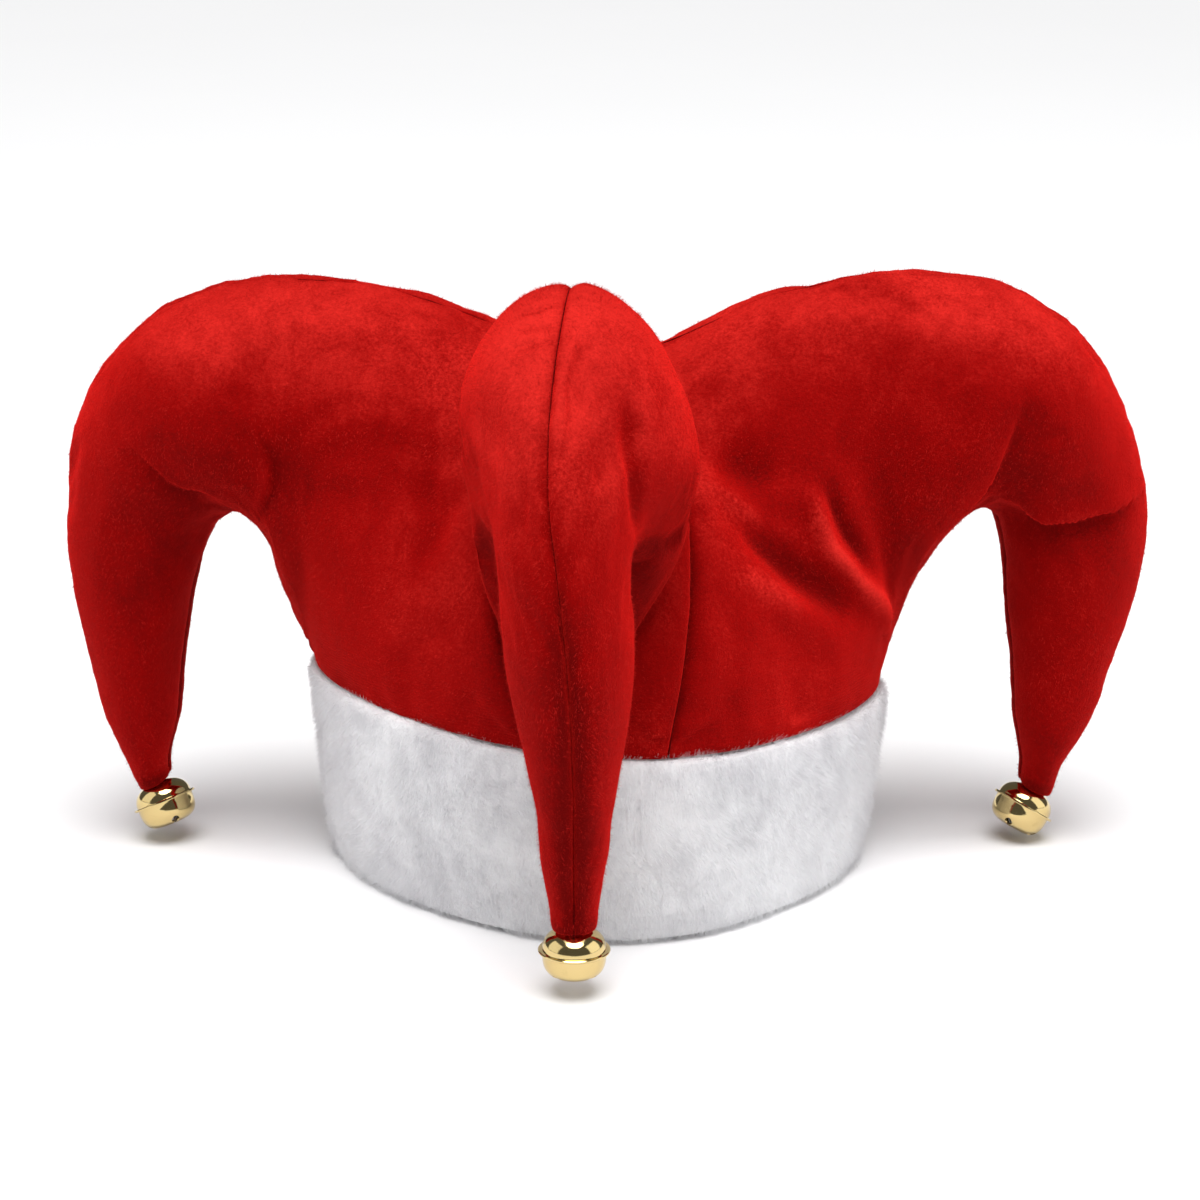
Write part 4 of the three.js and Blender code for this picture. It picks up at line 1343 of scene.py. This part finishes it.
@dataclass
class JingleBells:
    """The three brass bells and the pellets in them. Sizes are in millimetres."""

    radius: float = 10.3
    flange_radius: float = 11.6
    flange_thickness: float = 0.9
    cap_height: float = 7.4
    cup_height: float = 9.0
    wall: float = 0.6
    cap_squareness: float = 2.4
    cup_squareness: float = 3.4
    slot_width: float = 1.3
    slot_reach: float = 7.7
    slot_drop: float = 2.7
    hole_radius: float = 1.45
    loop_radius: float = 2.0
    loop_wire: float = 0.55
    pellet_radius: float = 2.6
    spin_steps: int = 96
    rise_steps: int = 16
    loop_steps: int = 36

    def build(self) -> None:
        """Builds one bell and one pellet, and hangs a copy of each at every horn."""
        brass = BrassFinish().material()
        steel = SteelFinish().material()
        bell = self.bell(brass)
        for horn in Horn:
            place = self.place(horn)
            side = horn.label
            self.hang(f"brass_bell_{side}", bell.data, place, f"bell_{side}", "bell_brass")
            pellet = self.pellet(steel, 80 + len(side))
            self.hang(f"steel_pellet_{side}", pellet, place, f"pellet_{side}", "pellet_steel")
        bpy.data.objects.remove(bell)

    def place(self, horn: Horn) -> Matrix:
        """Where a horn's bell hangs, from its CAD node's own extent along its axis."""
        turn = Vector((0, 0, 1)).rotation_difference(horn.up()).to_matrix()
        local = np.array(turn.inverted())
        points = places(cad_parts[f"bell_{horn.label}"].data) @ local.T
        low, high = points.min(axis=0), points.max(axis=0)
        centre = Vector(((low[0] + high[0]) / 2, (low[1] + high[1]) / 2, low[2] + self.cup_height))
        return Matrix.Translation(turn @ centre * MM) @ turn.to_4x4() @ horn.twist

    def hang(self, name: str, mesh: bpy.types.Mesh, place: Matrix, node: str, slot: str) -> None:
        """Puts a copy of a mesh in its place as a piece.

        Args:
            name: the piece's name.
            mesh: its shape about the bell's flange, in metres.
            place: where it hangs.
            node: the CAD node that it replaces.
            slot: not used.
        """
        own = mesh.copy()
        own.transform(place)
        piece = linked(name, own)
        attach(piece, "root")
        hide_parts(node)
        LOG.info("%s: %d faces", name, len(own.polygons))

    def half(self, radius: float, height: float, squareness: float) -> list[tuple[float, float]]:
        """Radius and height along half of the profile, from its pole to the flange."""
        power = 2 / squareness
        angles = [math.pi / 2 * k / self.rise_steps for k in range(self.rise_steps + 1)]
        return [(radius * math.sin(t) ** power, height * math.cos(t) ** power) for t in angles]

    def spun(self, profile: list[tuple[float, float]]) -> bmesh.types.BMesh:
        """Spins a profile of radius and height, in millimetres, round Z."""
        bm = bmesh.new()
        line = [bm.verts.new((r * MM, 0, h * MM)) for r, h in profile]
        edges = [bm.edges.new(pair) for pair in zip(line, line[1:])]
        bmesh.ops.spin(
            bm,
            geom=line + edges,
            cent=(0, 0, 0),
            axis=(0, 0, 1),
            angle=math.tau,
            steps=self.spin_steps,
            use_merge=True,
        )
        bmesh.ops.remove_doubles(bm, verts=bm.verts, dist=1e-7)
        bmesh.ops.recalc_face_normals(bm, faces=bm.faces)
        return bm

    def bell(self, brass: bpy.types.Material) -> bpy.types.Object:
        """One bell about its flange with its loop up.

        Args:
            brass: its finish.

        Returns:
            The bell, with its slots cut.
        """
        lip = self.flange_thickness / 2
        cup = [(r, -h) for r, h in self.half(self.radius, self.cup_height, self.cup_squareness)]
        cap = self.half(self.radius, self.cap_height, self.cap_squareness)[::-1]
        rim = [
            (self.radius, -lip),
            (self.flange_radius - 0.25, -lip),
            (self.flange_radius, -lip * 0.45),
            (self.flange_radius, lip * 0.45),
            (self.flange_radius - 0.25, lip),
            (self.radius, lip),
        ]
        skin = cup[:-1] + rim + cap[1:]
        thin = self.radius - self.wall
        inner_cap = self.half(thin, self.cap_height - self.wall, self.cap_squareness)
        lower = self.half(thin, self.cup_height - self.wall, self.cup_squareness)
        inner_cup = [(r, -h) for r, h in lower][::-1]
        shell = finished("bell_shell", self.spun(skin), [brass])
        hollow = finished("bell_hollow", self.spun(inner_cap + inner_cup[1:]), [brass])
        cutters = [hollow, *self.slots()]
        for cutter in cutters:
            cut = shell.modifiers.new("cut", "BOOLEAN")
            cut.object = cutter
            cut.operation = "DIFFERENCE"
            cut.solver = "EXACT"
        settle(shell)
        for cutter in cutters:
            bpy.data.objects.remove(cutter)
        soft = shell.modifiers.new("soft", "BEVEL")
        soft.width = 0.09 * MM
        soft.segments = 2
        soft.limit_method = "ANGLE"
        soft.angle_limit = math.radians(38)
        settle(shell)
        points = places(shell.data)
        reach = np.hypot(points[:, 0], points[:, 1])
        above = points[:, 2] > 0
        tall = np.where(above, self.cap_height, self.cup_height) - self.wall * 0.5
        power = np.where(above, self.cap_squareness, self.cup_squareness)
        wide = self.radius - self.wall * 0.5
        level = (reach / wide) ** power + (abs(points[:, 2]) / tall) ** power
        keep_number(shell.data, "inside", (level < 1).astype(float))
        self.add_loop(shell)
        shell.data.shade_smooth()
        shell.data.set_sharp_from_angle(angle=math.radians(40))
        return shell

    def slots(self) -> list[bpy.types.Object]:
        """The cutters of the crossed slots and the round holes at their ends."""
        cutters = []
        depth = self.cup_height
        middle = -(self.slot_drop + depth / 2)
        for quarter in range(2):
            turn = Matrix.Rotation(quarter * math.pi / 2, 4, "Z")
            bm = bmesh.new()
            size = Matrix.Diagonal((2 * self.slot_reach * MM, self.slot_width * MM, depth * MM, 1))
            sunk = Matrix.Translation((0, 0, middle * MM))
            bmesh.ops.create_cube(bm, size=1, matrix=turn @ sunk @ size)
            cutters.append(finished(f"slot_{quarter}", bm, []))
            for end in (-1, 1):
                bm = bmesh.new()
                spot = Matrix.Translation((end * self.slot_reach * MM, 0, middle * MM))
                bmesh.ops.create_cone(
                    bm,
                    cap_ends=True,
                    segments=28,
                    radius1=self.hole_radius * MM,
                    radius2=self.hole_radius * MM,
                    depth=depth * MM,
                    matrix=turn @ spot,
                )
                cutters.append(finished(f"hole_{quarter}_{end + 1}", bm, []))
        return cutters

    def add_loop(self, shell: bpy.types.Object) -> None:
        """Adds the wire loop on the bell's cap to its mesh."""
        bm = bmesh.new()
        bm.from_mesh(shell.data)
        fresh = bmesh.ops.create_circle(bm, segments=14, radius=self.loop_wire * MM)["verts"]
        upright = Matrix.Rotation(math.pi / 2, 4, "X")
        place = Matrix.Translation((self.loop_radius * MM, 0, 0)) @ upright
        bmesh.ops.transform(bm, matrix=place, verts=fresh)
        edges = list({edge for vertex in fresh for edge in vertex.link_edges})
        spun = bmesh.ops.spin(
            bm,
            geom=fresh + edges,
            cent=(0, 0, 0),
            axis=(0, 0, 1),
            angle=math.tau,
            steps=self.loop_steps,
            use_merge=True,
        )
        last = {item for item in spun["geom_last"] if isinstance(item, bmesh.types.BMVert)}
        ring = last | set(fresh)
        heap = list(ring)
        while heap:
            vertex = heap.pop()
            for edge in vertex.link_edges:
                other = edge.other_vert(vertex)
                if other not in ring:
                    ring.add(other)
                    heap.append(other)
        lift = (self.cap_height + self.loop_radius - self.loop_wire / 2) * MM
        stand = Matrix.Translation((0, 0, lift)) @ upright
        bmesh.ops.transform(bm, matrix=stand, verts=list(ring))
        faces = {face for vertex in ring for face in vertex.link_faces}
        bmesh.ops.recalc_face_normals(bm, faces=list(faces))
        bm.to_mesh(shell.data)
        bm.free()

    def pellet(self, steel: bpy.types.Material, seed: int) -> bpy.types.Mesh:
        """A tumbled steel pellet lying in the cup of a bell."""
        bm = bmesh.new()
        bmesh.ops.create_icosphere(bm, subdivisions=4, radius=self.pellet_radius * MM)
        rest = self.wall + self.pellet_radius + 0.3 - self.cup_height
        dents = Lumps(seed)
        shape = np.array([vertex.co[:] for vertex in bm.verts]) / MM
        pressed = 1 - 0.02 * abs(dents.at(shape, 1.4)) - 0.01 * abs(dents.at(shape + 9, 0.6))
        for vertex, share in zip(bm.verts, pressed):
            vertex.co = vertex.co * share + Vector((0, 0, rest * MM))
        mesh = bpy.data.meshes.new("pellet")
        bm.to_mesh(mesh)
        bm.free()
        mesh.materials.append(steel)
        mesh.shade_smooth()
        return mesh


@dataclass
class Studio:
    """The floor, the lights and the camera. Lengths are in metres, angles in degrees."""

    floor_side: float = 40.0
    target: Vector = field(default_factory=lambda: Vector((-0.00258, 0.03068, 0.096)))
    distance: float = 1.1
    elevation: float = 16.0
    lens: float = 94.4
    sensor: float = 36.0

    def build(self) -> None:
        """Builds the floor, the lights and the camera."""
        bm = bmesh.new()
        bmesh.ops.create_grid(bm, x_segments=2, y_segments=2, size=self.floor_side / 2)
        floor = finished("floor", bm, [FloorFinish().material()])
        self.sun(3.1, 45.0, (0.03, -0.34, 0.94))
        self.light("left box", (-1.55, -0.25, 0.75), 1.5, 7.5)
        self.light("right box", (1.55, -0.25, 0.75), 1.5, 9.5)
        self.light("top box", (0.0, -0.25, 1.9), 1.6, 14.0)
        self.sky()
        self.camera()
        bpy.context.scene.view_settings.view_transform = "Standard"

    def light(
        self, name: str, place: tuple[float, float, float], side: float, power: float
    ) -> None:
        """Adds a square soft light that faces the hat.

        Args:
            name: its name.
            place: where it stands.
            side: its width.
            power: its power in watts.
        """
        data = bpy.data.lights.new(name, "AREA")
        data.size = side
        data.energy = power
        lamp = linked(name, data)
        lamp.location = place
        lamp.rotation_euler = (self.target - lamp.location).to_track_quat("-Z", "Y").to_euler()

    def sun(self, power: float, spread: float, place: tuple[float, float, float]) -> None:
        """Adds a broad even light from far off.

        Args:
            power: its power in watts per square metre.
            spread: how wide it looks, in degrees.
            place: the way to it.
        """
        data = bpy.data.lights.new("ceiling", "SUN")
        data.energy = power
        data.angle = math.radians(spread)
        lamp = linked("ceiling", data)
        lamp.rotation_euler = (-Vector(place)).to_track_quat("-Z", "Y").to_euler()

    def sky(self) -> None:
        """Lights the room evenly."""
        world = bpy.data.worlds.new("room")
        world.use_nodes = True
        back = world.node_tree.nodes["Background"]
        back.inputs["Color"].default_value = (1.0, 1.0, 1.0, 1.0)
        back.inputs["Strength"].default_value = 0.12
        bpy.context.scene.world = world

    def camera(self) -> None:
        """Adds the camera at the photograph's angle."""
        data = bpy.data.cameras.new("camera")
        data.lens = self.lens
        data.sensor_width = self.sensor
        data.clip_end = 2 * self.floor_side
        camera = linked("camera", data)
        rise = math.radians(self.elevation)
        back = Vector((0, -math.cos(rise), math.sin(rise))) * self.distance
        camera.location = self.target + back
        camera.rotation_euler = (-back).to_track_quat("-Z", "Y").to_euler()
        bpy.context.scene.camera = camera


def main() -> None:
    """Builds the studio, then the hat's cap, cuff and bells."""
    logging.basicConfig(level=logging.INFO, format="%(name)s %(message)s")
    Studio().build()
    VelourCap().build()
    PlushCuff().build()
    JingleBells().build()


if __name__ == "__main__":
    main()
